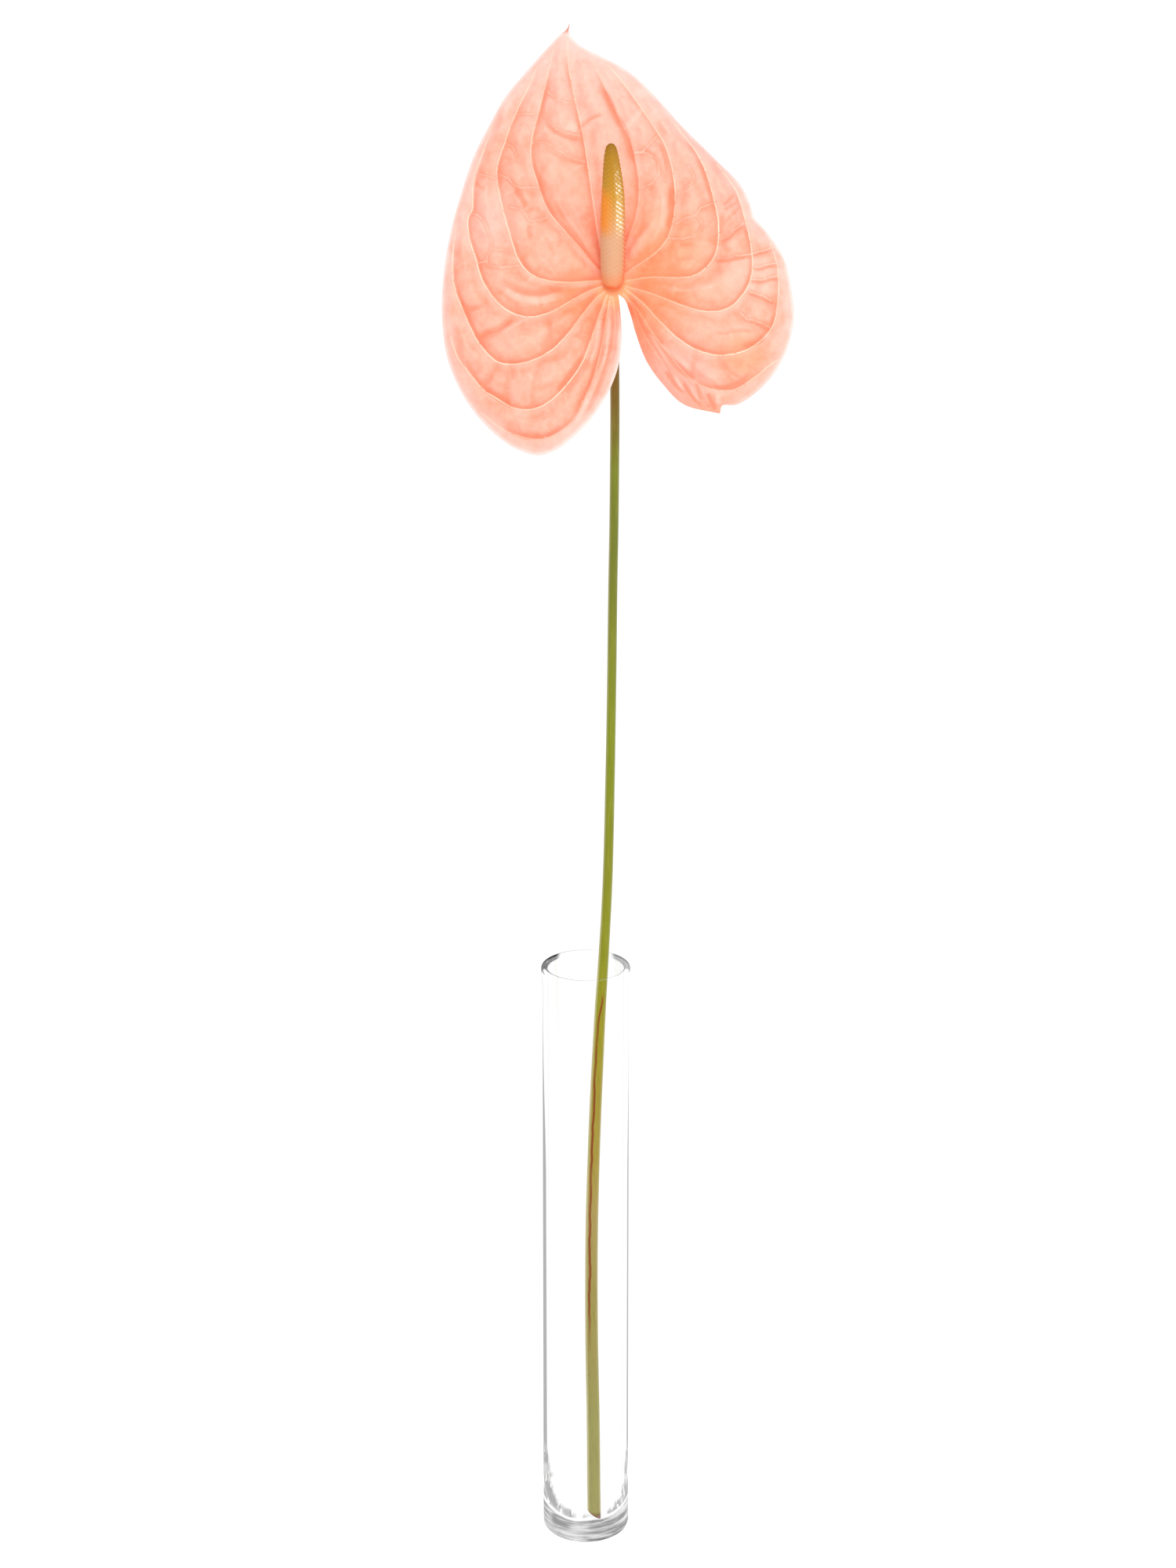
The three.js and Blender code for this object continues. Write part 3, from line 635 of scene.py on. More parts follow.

# %% [markdown]
# ## The stem's finish
#
# The stalk is bronze just under the flower, olive green for most of its height and duller below, where
# it stood in water. All of this follows its height, so the colours are read off a ramp along Z. Over them
# lie a fine grain that runs with the fibres, a reddish scar down the front inside the vase, painted rim
# light that makes both sides paler, and the brown of the cut.

# %% Finish of the stem
STEM_COLOURS = [  # millimetres above the table, and the colour there
    (11, (160, 154, 94)),
    (60, (156, 152, 88)),
    (96, (158, 146, 80)),
    (130, (160, 147, 76)),
    (164, (170, 150, 84)),
    (198, (166, 146, 56)),
    (232, (160, 144, 42)),
    (257, (156, 146, 22)),
    (297, (138, 140, 12)),
    (343, (130, 133, 14)),
    (411, (126, 136, 18)),
    (457, (122, 127, 30)),
    (501, (110, 116, 30)),
    (538, (116, 124, 28)),
    (556, (114, 104, 28)),
    (580, (128, 98, 32)),
    (630, (134, 92, 36)),
]
STEM_TOP = 640
green = Finish("stalk_skin", stem)
where = green.add("TexCoord").outputs["Object"]
height = green.add("SeparateXYZ", {0: where}).outputs[2]
share = green.maths("DIVIDE", height, STEM_TOP * MM)
green.ramp(share, [(h / STEM_TOP, tone) for h, tone in STEM_COLOURS])
stretched = green.stretch(where, (900, 900, 60))
grain = green.cloud(stretched, 1.0, detail=4, roughness=0.6)
green.tint(green.fall(grain, 0.5, 0.75, 0, 0.25), 170, 166, 70)
green.tint(green.fall(grain, 0.5, 0.25, 0, 0.25), 96, 92, 20)
green.count()

# %% Finish of the stem: its scar, its painted rim light and its cut
turned = green.measure("turn")
sway = green.cloud(green.add("CombineXYZ", {2: height}).outputs[0], 60, detail=3)
scar_at = green.fall(height, 0.262, 0.284, -0.32, 0.3)
scar_at = green.plus(scar_at, green.fall(sway, 0.25, 0.75, -0.16, 0.16))
scar_gap = green.maths("ABSOLUTE", green.minus(turned, scar_at))
scar_ends = green.times(green.fall(height, 0.095, 0.125), green.fall(height, 0.277, 0.283, 1, 0))
broken = green.fall(green.cloud(stretched, 0.35, detail=3), 0.25, 0.5, 0.35, 1.0)
scar = green.times(green.fall(scar_gap, 0.28, 0.08), scar_ends, broken)
green.tint(green.times(scar, 0.9), 138, 44, 2)
# painted rim light: both edges of the stalk are painted paler, more so inside the vase
left_rim_light = green.fall(turned, -0.55, -1.05, 0, 0.6)
right_rim_light = green.fall(turned, 0.75, 1.2, 0, 0.3)
painted_rim_light = green.times(green.larger(left_rim_light, right_rim_light), green.fall(height, 0.36, 0.27, 0.4, 1.0))
green.tint(painted_rim_light, 228, 218, 158)
from_cut = [-c / math.hypot(*FOOT_CUT_FACES) for c in FOOT_CUT_FACES]
across_cut = green.add("VectorMath", {0: where, 1: from_cut}, operation="DOT_PRODUCT").outputs["Value"]
green.tint(green.fall(across_cut, 0.0137, 0.0131, 0, 0.75), 168, 104, 72)
green.tint(green.fall(height, 0.0155, 0.0118, 0, 0.95), 104, 44, 22)
green.set(Base_Color=green.colour, Roughness=0.5, Specular_IOR_Level=0.2, Sheen_Weight=0.25)
green.bump(grain, 0.0002, 0.25)
green.count()

# %% [markdown]
# ## The spathe's outline and veins
#
# The spathe is one heart-shaped sheet. Everything on it follows its veins: they lie in valleys, the
# sheet swells between them, and painted shade deepens its colour beside them. So the outline and the veins
# come first, as flat lines in the spathe's own frame, and the mesh is laid along them. They could be drawn
# by hand as curves, but as lists of points they are easy to compare and to correct. All of them are in
# millimetres from the hub, across the sheet and along it.
#
# The outline is cut into four smooth parts, because the sheet has corners: at the right lobe's end, at
# the shoulder, at the tip, and in the notch above the stem.

# %% Spathe: outline
OUTLINE = [
    [[2, -2.5], [5, -5], [7.5, -11.5], [10, -21], [15, -34.5], [22.5, -45], [31.5, -53.5], [48, -57.5]],
    [
        [48, -57.5], [49, -54], [55.5, -53.5], [64.5, -48], [72.5, -39.5], [78, -29.5],
        [81, -18.5], [81.5, -11], [80, 0.5], [77.5, 12], [71, 23], [63.5, 32],
    ],
    [
        [63.5, 32], [62, 38], [57.5, 47.5], [45, 61], [29, 77], [17, 90],
        [6, 100], [-6.5, 107], [-15, 111.5], [-18.5, 115], [-20.5, 118], [-20, 122.5],
    ],
    [
        [-20, 122.5], [-21.5, 119.5], [-25, 116.5], [-30.5, 110.5], [-40, 99.5], [-49.5, 87.5],
        [-57.5, 73], [-64, 59.5], [-69.5, 42.5], [-74, 26], [-77, 8], [-78, -10],
        [-76, -30], [-70.5, -45], [-63, -57], [-51.5, -68.5], [-42, -74], [-34, -76], [-25, -73],
        [-15, -65], [-8, -57], [-1.5, -46], [2, -36], [3.5, -24], [3, -10.5], [2, -2.5],
    ],
]

print("outline:", len(OUTLINE), "parts")

# %% [markdown]
# The main veins leave the hub like the ribs of a fan, and most of them bend round towards the tip, one
# outside the other. They are listed anticlockwise, from the one beside the notch on the right, and each
# runs from the hub outwards.

# %% Spathe: main veins
VEINS = [
    [[4, -2.5], [8, -7.5], [12.5, -19.5], [19, -31.5], [27, -42.5], [35.5, -50], [43, -53.5]],
    [
        [4.5, -2], [10, -9], [17, -21], [26, -33], [33, -41], [39, -45.3], [44, -47], [49.5, -47.6],
        [54.5, -47], [60, -44], [65.5, -40.2], [70.5, -36], [74.5, -33.5],
    ],
    [
        [5, 0], [12.5, -6.5], [20, -15.5], [29, -24.5], [37, -29.5], [46.5, -32], [57.5, -30.5],
        [66, -25.5], [72, -18], [74, -7.5], [74.5, 0.5], [74, 9.5], [71, 20],
    ],
    [
        [5.5, 1], [14.5, -2], [31.5, -9.5], [39.5, -12], [48, -12], [54, -9], [60, -1.5],
        [62.5, 6], [62.5, 15.5], [58.5, 35], [55.5, 44], [47, 57],
    ],
    [[5.5, 3.5], [16, 4.5], [34.5, 4], [41, 7.5], [46, 14.5], [47.5, 27], [45.5, 39.5], [39, 59], [28, 75]],
    [
        [4.5, 6], [8, 8.5], [20, 16.5], [25, 23.5], [27.5, 34], [27.5, 47], [23.5, 64],
        [13, 81], [3, 95.5], [-3, 103],
    ],
    [[2.5, 7.5], [4.5, 16.5], [10, 32], [11.5, 45], [8, 65.5], [1, 80.5], [-6.5, 97], [-10.5, 106]],
    [[-1.5, 6.5], [-5.5, 16.5], [-9.5, 39.5], [-13.5, 67], [-17.5, 86], [-20.5, 101.5], [-21, 114]],
    [
        [-4, 6], [-8, 9.5], [-14, 16.5], [-22.5, 25.5], [-30, 35], [-35, 48.5], [-37.5, 58],
        [-37.5, 66], [-33, 85], [-29, 102.5], [-27.5, 110],
    ],
    [
        [-5, 3.5], [-11.5, 3], [-21.5, 2], [-30, 2.5], [-37, 5], [-42.5, 11], [-46.5, 21.5],
        [-52.5, 45.5], [-53, 54.5], [-49.5, 66.5], [-44.5, 80], [-37.5, 95], [-35, 102],
    ],
    [
        [-5, 1], [-11.5, -1.5], [-28.5, -12], [-37, -14.5], [-43.5, -13.5], [-50, -10], [-55.5, -4],
        [-60, 4], [-62.6, 13], [-65.2, 21], [-66.2, 27.5], [-66, 32.5], [-64.3, 35.5], [-63.7, 47],
        [-58, 66.5], [-55, 75],
    ],
    [
        [-4, -1.5], [-8, -4.5], [-14, -12.5], [-21.5, -23], [-28.5, -30], [-37, -34.5], [-45, -36],
        [-52, -35], [-58, -30], [-63, -22.5], [-68, -11.5], [-72.5, 1.5], [-73, 15], [-71.5, 30],
    ],
    [
        [-3, -3], [-6.5, -12.5], [-10, -23.5], [-14.5, -35.5], [-21.5, -45.5], [-29.5, -53], [-37, -56],
        [-45, -55.5], [-52, -51.5], [-59, -47], [-65, -40], [-70.5, -32.5], [-74, -22.5],
    ],
    [
        [-1.5, -3.5], [-3, -12], [-5.5, -27], [-9, -41.5], [-14.5, -53.5], [-19, -61.5], [-25, -66],
        [-33, -69], [-43.5, -67.5], [-52, -63.5], [-60, -57],
    ],
    [[-0.5, -4], [0.5, -14], [-0.5, -31.5], [-4, -44.5], [-10, -55.5], [-16, -62.5]],
]

print(len(VEINS), "main veins")

# %% [markdown]
# Not every vein is cream all along: the outermost ones sink into the sheet half-way. This says how
# clearly each one shows, from 0 to 1, near the hub, half-way and at its end.

# %% Spathe: how clearly each vein shows
VEIN_SHOWS = [
    (0.5, 0, 0), (0.3, 0.3, 0.7), (0.8, 1, 0.8), (0.8, 1, 1), (0.8, 1, 1),
    (0.8, 0.9, 0.6), (0.4, 0.5, 0.25), (0.7, 0.9, 0.6), (0.7, 0.8, 0.4), (1, 0.9, 0.5),
    (1, 1, 0.6), (1, 1, 0.6), (1, 0.9, 0.8), (1, 0.1, 0.5), (0.7, 0, 0),
]
print("veins that show all along:", sum(min(shares) > 0.5 for shares in VEIN_SHOWS))

# %% [markdown]
# Between the main veins runs a net of fine ones. Most of them join two main veins, like the rungs of a
# ladder, and some end in the sheet.

# %% Spathe: the net of cross veins
CROSS_VEINS = [
    [[-31.5, 92], [-28, 88], [-24.5, 85.2], [-18, 84.5]],
    [[-32, 79.5], [-28, 73.8], [-23.5, 70.7], [-15.5, 69.2]],
    [[-37.5, 66], [-31, 66], [-26, 62.5], [-20, 59], [-13, 57]],
    [[-49.5, 66.5], [-46, 64], [-44, 60]],
    [[-52.5, 52], [-48, 49.5], [-45, 46], [-41.5, 45], [-34.5, 45.5]],
    [[-47, 36.5], [-41.5, 34.5], [-38, 29.8], [-34.5, 30], [-30, 31.5]],
    [[-45, 79.5], [-35, 79.5]],
    [[-61, 52], [-58, 51], [-53, 49.5]],
    [[-65, 34], [-61, 32.5], [-57, 25.5], [-55.3, 19], [-57, 14], [-57.5, 10.5], [-51.5, 8.5], [-43, 9.5]],
    [[-55, 17], [-50, 16.5], [-46, 16.6]],
    [[-63, 11], [-57.5, 11.5]],
    [[-68.3, -10.5], [-64, -10], [-58.5, -9.3]],
    [[-61.5, -24], [-50.5, -20.5], [-45, -13.5]],
    [[-59.5, -46], [-52.5, -35]],
    [[-50, -52.5], [-46.5, -36.5]],
    [[-32, -32.5], [-35, -39.5], [-37, -56]],
    [[-29.5, -12], [-28, -30]],
    [[20, 69.5], [13, 62], [9, 61.5]],
    [[9, 61], [14.5, 61], [19.5, 57.5], [20.5, 52], [17.5, 47.5], [11.5, 44.5]],
    [[27.5, 41.5], [36, 48.5], [34, 55]],
    [[27, 28], [33, 31], [37, 32.3], [40, 36], [46, 38.7]],
    [[37, 32], [40, 28.5], [37.5, 23.2], [31.5, 21.5], [24.5, 22]],
    [[47.5, 21.3], [51, 22.5], [55, 26], [60, 30.3]],
    [[46.5, 12.8], [51, 12.5], [55, 13.5], [62.5, 14.8]],
    [[62.5, 14.8], [68, 16.5], [73, 18]],
    [[62.5, 8.8], [67, 8.8], [70, 10], [74, 10.7]],
    [[62.3, 3], [67, 2.6], [72, 4.2], [74.3, 4.6]],
    [[61.5, -3], [67, -5], [71, -6.9]],
    [[57, -12.5], [60, -15.6], [64, -16.6], [71, -19.3]],
    [[47.5, -32], [50.5, -39], [55.5, -46.5]],
    [[37, -29.5], [35.5, -41.5]],
]
print(len(CROSS_VEINS), "cross veins")


# %% [markdown]
# Between the veins the sheet is buckled, because it grew in a bud too small for it. These are its folds:
# creases that sink, and ridges that stand up. Each has a width and a depth in millimetres, and the line
# that it follows, with its soft side on the left.

# %% Spathe: creases
CREASES = [
    (1.3, 0.4, [[-33, 77], [-28, 71.7], [-24.5, 69.2], [-20, 67.5], [-12, 67.3]]),
    (1.1, 0.42, [[-18, 70.5], [-13, 74.5], [-10, 76.6], [-3, 78.5]]),
    (1.1, 0.3, [[-31, 62.5], [-22, 57.6], [-10, 55]]),
    (1.5, 0.6, [[10.5, 52], [8, 62], [5, 72.5], [1, 79], [-1, 84], [-3, 88], [-6, 92], [-9, 96]]),
    (1.1, 0.4, [[-50, 50], [-46.5, 47], [-43.5, 44.3], [-39, 44]]),
    (1.3, 0.6, [[-45.5, 45.5], [-42.5, 40], [-39.5, 34.5]]),
    (1.0, 0.3, [[-39.5, 33.5], [-36.5, 35.5]]),
    (1.2, 0.4, [[-38.3, 29.5], [-39, 24.5], [-37.5, 20.5]]),
    (1.2, 0.3, [[-32, 23.5], [-29.5, 18.5], [-26, 13]]),
    (1.0, 0.3, [[-64, 49.5], [-61, 45.5], [-57.5, 43.5]]),
    (1.0, 0.4, [[-49.3, 66.5], [-46, 63.3], [-43.6, 58.5]]),
    (1.3, 0.5, [[-63, -25], [-57, -22], [-51, -20], [-47.5, -17], [-43.5, -14]]),
    (1.0, 0.3, [[-68, -11.5], [-61, -10], [-58, -9]]),
    (1.9, 0.5, [[-54, 4], [-48.5, 0], [-41, -3.7], [-33, -4.2], [-26, -2], [-18, 0]]),
    (1.0, 0.35, [[-52, -35], [-56, -42], [-59, -46]]),
    (1.0, 0.3, [[-46.5, -36], [-46, -44.5]]),
    (1.0, 0.25, [[-42.5, -36.5], [-41.3, -44]]),
    (1.2, 0.3, [[-68, -33], [-62, -42]]),
    (2.6, 0.6, [[-13, -30], [-17, -37], [-22, -44], [-27, -50]]),
    (1.5, 0.55, [[-60, -46], [-56, -49], [-50, -53], [-45, -55]]),
    (1.0, 0.5, [[-3, -8], [-5, -16], [-6.7, -31], [-11, -43], [-15, -54]]),
    (1.0, 0.6, [[-0.5, -5], [-0.8, -22], [-4, -37], [-11, -54], [-17, -63]]),
    (0.8, 0.45, [[1, -14], [0.2, -28.5], [-3.5, -41]]),
    (1.6, 0.4, [[-52, -63], [-45, -67], [-38, -68.5], [-30, -67]]),
    (1.1, 0.35, [[9, 60], [14, 61.5], [18, 59], [20, 53]]),
    (1.1, 0.35, [[19, 47], [15, 43]]),
    (1.5, 0.5, [[25, 48], [25.5, 40], [25, 30], [24, 24]]),
    (1.5, 0.45, [[22, 17], [14, 12]]),
    (1.1, 0.35, [[38, 33], [44, 37]]),
    (1.7, 0.3, [[28, 19], [32, 18.3], [37, 18.5]]),
    (1.1, 0.35, [[26, 11], [33, 12], [38, 12]]),
    (1.0, 0.3, [[38, 24], [41, 28]]),
    (1.2, 0.35, [[48.5, 35], [48, 22]]),
    (0.9, 0.36, [[49, 36], [51.5, 38.5], [56, 43]]),
    (0.9, 0.3, [[49, 34.2], [53, 36.5], [57.5, 39.5]]),
    (0.9, 0.34, [[46.8, 25.3], [52, 30.5], [59, 38]]),
    (0.9, 0.42, [[46, 20], [51, 21.3], [55.7, 24.8], [61, 30]]),
    (1.1, 0.55, [[44, 11.8], [51, 11.2], [56, 12.3], [62, 13.4]]),
    (0.9, 0.42, [[59.5, 12.8], [67, 15], [76, 17.6]]),
    (0.9, 0.4, [[60, 7.4], [67, 7.4], [70, 8.5], [77, 9.5]]),
    (0.9, 0.44, [[59.5, 1.9], [67, 1.2], [72, 2.7], [77, 3.6]]),
    (1.0, 0.5, [[58, -3], [62, -4.4], [67, -6.5], [75, -9.5]]),
    (1.3, 0.4, [[19, 67], [22, 62], [23.5, 55], [24, 50]]),
    (1.0, 0.3, [[8, 8], [20, 7]]),
    (1.0, 0.3, [[28, 3], [35, 3.5]]),
    (1.3, 0.5, [[25, -5.5], [31, -8.5]]),
    (1.2, 0.6, [[8, -5], [10, -13], [12.5, -19], [17, -25.5], [22, -33], [26, -40], [30.5, -48]]),
    (1.3, 0.6, [[14, -19], [18.5, -25.5], [23, -31.5], [27.5, -37], [32, -40.5], [39, -44]]),
    (0.9, 0.45, [[22, -38], [27.5, -45.5], [32.5, -50]]),
    (0.9, 0.45, [[29.5, -42], [33.5, -48.5], [41, -56.5]]),
    (1.1, 0.3, [[41, -54], [45, -54.8], [49, -54.5]]),
    (1.2, 0.55, [[56, -29], [61, -27.8], [66, -26], [69, -22.5]]),
    (0.9, 0.38, [[41, -44.7], [49.5, -46.3], [57, -43.6], [64, -38]]),
    (0.9, 0.25, [[59, -36.3], [65.5, -39.7]]),
    (1.1, 0.45, [[55, -14], [60, -17], [64, -18], [73, -21.8]]),
    (1.0, 0.35, [[43, -22.5], [50, -22.7], [55, -21.7], [65, -21.7]]),
    (0.9, 0.38, [[47.5, -33.5], [53.5, -40.5], [59, -42.7]]),
    (0.9, 0.5, [[41.3, -47.5], [43.5, -52], [46.3, -57]]),
    (0.9, 0.42, [[36.3, -43.5], [38, -48], [39.2, -53]]),
]
print(len(CREASES), "creases")

# %% Spathe: ridges
RIDGES = [
    (1.8, 0.5, [[-23, 73.5], [-19, 72], [-15.5, 71]]),
    (1.0, 0.3, [[-28, 44], [-25, 37], [-20, 29], [-13, 19.5], [-9, 12]]),
    (0.8, 0.25, [[-20, 20], [-10, 9.5]]),
    (2.2, 0.45, [[20, 32], [14, 24], [8, 16], [5, 12]]),
    (0.9, 0.5, [[21, 84], [24, 80], [30, 72], [34, 66]]),
    (1.9, 0.36, [[-57, 3], [-51, -1.5], [-45, -5.8], [-36.5, -8], [-27.5, -6.5], [-20, -4]]),
    (0.6, 0.25, [[28, 30], [36, 32], [45, 38]]),
    (0.6, 0.25, [[29, 42], [34, 44], [36, 47]]),
    (0.6, 0.25, [[26, 21.5], [34, 22], [38, 24], [40, 29]]),
    (1.5, 0.35, [[20, -2], [35, -2.5], [50, 0]]),
    (0.9, 0.5, [[13.5, -19], [20, -29.5], [24.5, -37], [30, -46]]),
    (0.8, 0.55, [[24.5, -36.5], [28.5, -44], [31.5, -49]]),
    (0.9, 0.35, [[33.3, -44.5], [36, -49.5], [39.2, -54]]),
    (1.0, 0.45, [[46.3, -48], [46.8, -55]]),
    (1.5, 0.4, [[21.5, 46], [22, 38], [21.5, 30], [18, 23], [12, 17]]),
    (1.5, 0.38, [[19.5, -25], [28.5, -34], [37, -40.3]]),
    (2.0, 0.26, [[34, -35], [41, -40], [49, -44.5]]),
    (1.4, 0.4, [[-7, -12], [-7.5, -24], [-12, -38]]),
    (0.8, 0.4, [[-2, -9], [-2.7, -20], [-4.3, -32], [-8, -43]]),
    (1.1, 0.5, [[-12, -50], [-14, -55], [-18.5, -63]]),
    (1.4, 0.45, [[4, 70.5], [9, 75.5], [14, 82]]),
    (1.2, 0.35, [[-52, -23], [-43, -17.7], [-39, -15.5]]),
]
print(len(RIDGES), "ridges")


# %% [markdown]
# ## A mesh that follows the veins
#
# A plain grid would cut across the veins and blur them. The real sheet is a net of veins with tissue
# between, and so is this mesh: a row of points runs along every vein with rows on either side, the
# margin has its own row, and what is left is filled at an even pitch. Blender's triangulation joins
# them, and is told to keep to the margin.


# %% Spathe: how far a point is from the lines
BATCH = 3000  # places measured at a time, to spare memory


def nearest_line(lines, at):
    """Distance from each place to the nearest of some lines, how far along that line it is, from 0 to 1,
    whether it is on the left of it, 1, or on the right, 0, and which line that is."""
    starts = np.vstack([line[:-1] for line in lines])
    ends = np.vstack([line[1:] for line in lines])
    shares = np.concatenate([(np.arange(len(line) - 1) + 0.5) / (len(line) - 1) for line in lines])
    edge = ends - starts
    size = np.maximum((edge**2).sum(1), 1e-9)
    numbers = np.concatenate([np.full(len(line) - 1, k) for k, line in enumerate(lines)])
    gaps, along, left, which = (np.empty(len(at)) for _ in range(4))
    for first in range(0, len(at), BATCH):
        batch = slice(first, first + BATCH)
        part = at[batch, None, :] - starts
        t = np.clip((part * edge).sum(2) / size, 0, 1)
        gap = ((part - t[..., None] * edge) ** 2).sum(2)
        best = gap.argmin(1)
        gaps[batch] = np.sqrt(gap[np.arange(len(gap)), best])
        along[batch] = shares[best]
        ahead, beyond = edge[best], part[np.arange(len(gap)), best]
        left[batch] = ahead[:, 0] * beyond[:, 1] > ahead[:, 1] * beyond[:, 0]
        which[batch] = numbers[best]
    return gaps, along, left, which


def is_inside(loop, at):
    """Which places lie inside a closed line."""
    x, y = at[:, 0], at[:, 1]
    inside = np.zeros(len(at), bool)
    for (ax, ay), (bx, by) in zip(loop, np.roll(loop, -1, axis=0)):
        if ay != by:
            inside ^= ((ay > y) != (by > y)) & (x < ax + (bx - ax) * (y - ay) / (by - ay))
    return inside


# %% Spathe: its lines as rows of points
PITCH = 0.85  # millimetres between the points of the margin and of the filling
VEIN_PITCH = 1.1


def wavering(line, size):
    """A grown line is never quite smooth: this moves its points sideways a little, but not its ends."""
    x, y = line.T
    sway = np.column_stack([np.sin(1.1 * y + 0.4 * x), np.sin(1.3 * x - 0.5 * y)])
    sway += 0.6 * np.column_stack([np.sin(2.3 * y - 1.1 * x), np.sin(2.1 * x + 1.7 * y)])
    ends = np.minimum(1, np.minimum(np.arange(len(line)), np.arange(len(line))[::-1]) / 5)
    return line + size * ends[:, None] * sway


margin = np.vstack([chain_through(part, PITCH)[:-1] for part in OUTLINE])
margin_line = np.vstack([margin, margin[:1]])
veins = [wavering(chain_through(vein, VEIN_PITCH), 0.05) for vein in VEINS]
crosses = [wavering(chain_through(vein, VEIN_PITCH), 0.2) for vein in CROSS_VEINS]
print("margin:", round(len(margin) * PITCH), "mm round")


# %% Spathe: rows beside them, and the filling between
def beside(line, gap):
    """The line moved sideways."""
    along = np.gradient(line, axis=0)
    along /= np.linalg.norm(along, axis=1, keepdims=True)
    return line + gap * np.column_stack([-along[:, 1], along[:, 0]])


ROWS = [  # lines, how far beside them on both sides, and the room that each point needs
    (veins, 0, 0.25),
    (veins, 0.45, 0.35),
    (crosses, 0, 0.35),
    (veins, 1.1, 0.45),
    (crosses, 0.4, 0.4),
]
rows = []
for lines, wide, room in ROWS:
    rows += [(beside(line, gap), room) for line in lines for gap in sorted({-wide, wide})]
FILLING_COLUMNS, FILLING_ROWS = range(-100, 105), range(-100, 180)
hex_row = PITCH * math.sqrt(3) / 2
filling = [(i + j % 2 / 2, j) for j in FILLING_ROWS for i in FILLING_COLUMNS]
filling = np.array(filling) * (PITCH, hex_row)
filling += 0.12 * np.sin(filling[:, ::-1] * (7.3, 9.1))  # no straight row is left to be seen
rows.append((filling, 0.62 * PITCH))
print(sum(len(group) for group, _ in rows), "points to choose from")


# %% Spathe: the points that are kept
def thinned(kept, groups):
    """Adds each group's points to those kept, but none nearer to a kept one than the group's room."""
    cells = {}
    near = [(i, j) for i in (-1, 0, 1) for j in (-1, 0, 1)]
    out = []

    def put(x, y):
        cells.setdefault((int(x // 1), int(y // 1)), []).append((x, y))
        out.append((x, y))

    for x, y in kept:
        put(x, y)
    for group, room in groups:
        for x, y in group:
            i, j = int(x // 1), int(y // 1)
            close = (p for di, dj in near for p in cells.get((i + di, j + dj), ()))
            if all((p[0] - x) ** 2 + (p[1] - y) ** 2 > room * room for p in close):
                put(x, y)
    return np.array(out)


MARGIN_ROOM = 0.5
fits = []
for group, room in rows:
    group = group[is_inside(margin, group)]
    group = group[nearest_line([margin_line], group)[0] > MARGIN_ROOM]
    fits.append((group, room))
flat = thinned(margin, fits)
print("spathe:", len(flat), "points")

# %% Spathe: its triangles
rim_edges = [(i, (i + 1) % len(margin)) for i in range(len(margin))]
corners, _, triangles, *_ = delaunay_2d_cdt([Vector(p) for p in flat], rim_edges, [], 1, 1e-5)
flat = np.array([tuple(c) for c in corners])
print("spathe:", len(triangles), "triangles on its front")


# %% [markdown]
# ## The spathe's form
#
# The flat pattern is now lifted off the table, as a leaf is: a shallow funnel at the hub, with the sides,
# the tip and the ends of the lobes bent back, the middles of the lobes swelling forward, and a margin
# that curls back. On that ride the quilts between the veins. It could be pulled into shape by hand with
# proportional editing. Here every one of these is a short formula, so each can be changed without
# touching the others.


# %% Spathe: the large form
FUNNEL, SIDES_BACK, TIP_BACK, LOBES_BACK = 7, 6, 10, 8  # how far out in front, or back
FUNNEL_WIDTH, HALF_WIDTH, TIP_HEIGHT, LOBES_FROM, LOBES_LENGTH = 20, 78, 118, -30, 45
HUB_RADIUS = 7  # the flat place round the stem
SWELLS = [(5, -38, -32, 24, 24), (6, 46, -20, 22, 22), (5, 80, -10, 13, 26)]  # how high, and a bell


def bell(x, y, middle_x, middle_y, wide, long):
    """A round hill of height 1."""
    return np.exp(-0.5 * (((x - middle_x) / wide) ** 2 + ((y - middle_y) / long) ** 2))


def hump(value, wide):
    """1 at 0, and less and less further away."""
    return np.exp(-((value / wide) ** 2))


def smooth(start, end, value):
    """From 0 at the start to 1 at the end, and gentle at both."""
    t = np.clip((value - start) / (end - start), 0, 1)
    return t * t * (3 - 2 * t)


def large_form(x, y):
    """How far in front of the hub each place of the sheet lies."""
    from_hub = np.hypot(x, y)
    away = smooth(HUB_RADIUS, 3 * HUB_RADIUS, from_hub)
    depth = FUNNEL * (1 - hump(np.maximum(0, from_hub - HUB_RADIUS), FUNNEL_WIDTH))
    depth -= SIDES_BACK * (x / HALF_WIDTH) ** 2 * away
    depth -= TIP_BACK * (np.maximum(y, 0) / TIP_HEIGHT) ** 2.2 * away
    depth -= LOBES_BACK * (np.maximum(LOBES_FROM - y, 0) / LOBES_LENGTH) ** 2
    return depth + away * sum(high * bell(x, y, *hill) for high, *hill in SWELLS)


def margin_curl(x, y, from_margin):
    """How far the margin curls back: most on the right shoulder and beside the notch."""
    shoulder = bell(x, y, 40, 66, 22, 24)
    notch = bell(x, y, 8, -30, 14, 24)
    width = 3.5 + 4.5 * shoulder + 1.5 * notch
    steepness = 0.3 + 0.55 * shoulder + 0.35 * notch
    share = np.maximum(0, 1 - from_margin / width)
    return steepness * width * share**2 * smooth(5, 12, np.hypot(x, y))


x, y = flat.T
from_margin, margin_share, *_ = nearest_line([margin_line], flat)
from_vein, vein_share, on_left, vein_number = nearest_line(veins, flat)
from_cross, *_ = nearest_line(crosses, flat)
from_hub = np.hypot(x, y)
depth = large_form(x, y) - margin_curl(x, y, from_margin)
print("spathe is", round(float(np.ptp(depth)), 1), "mm deep")

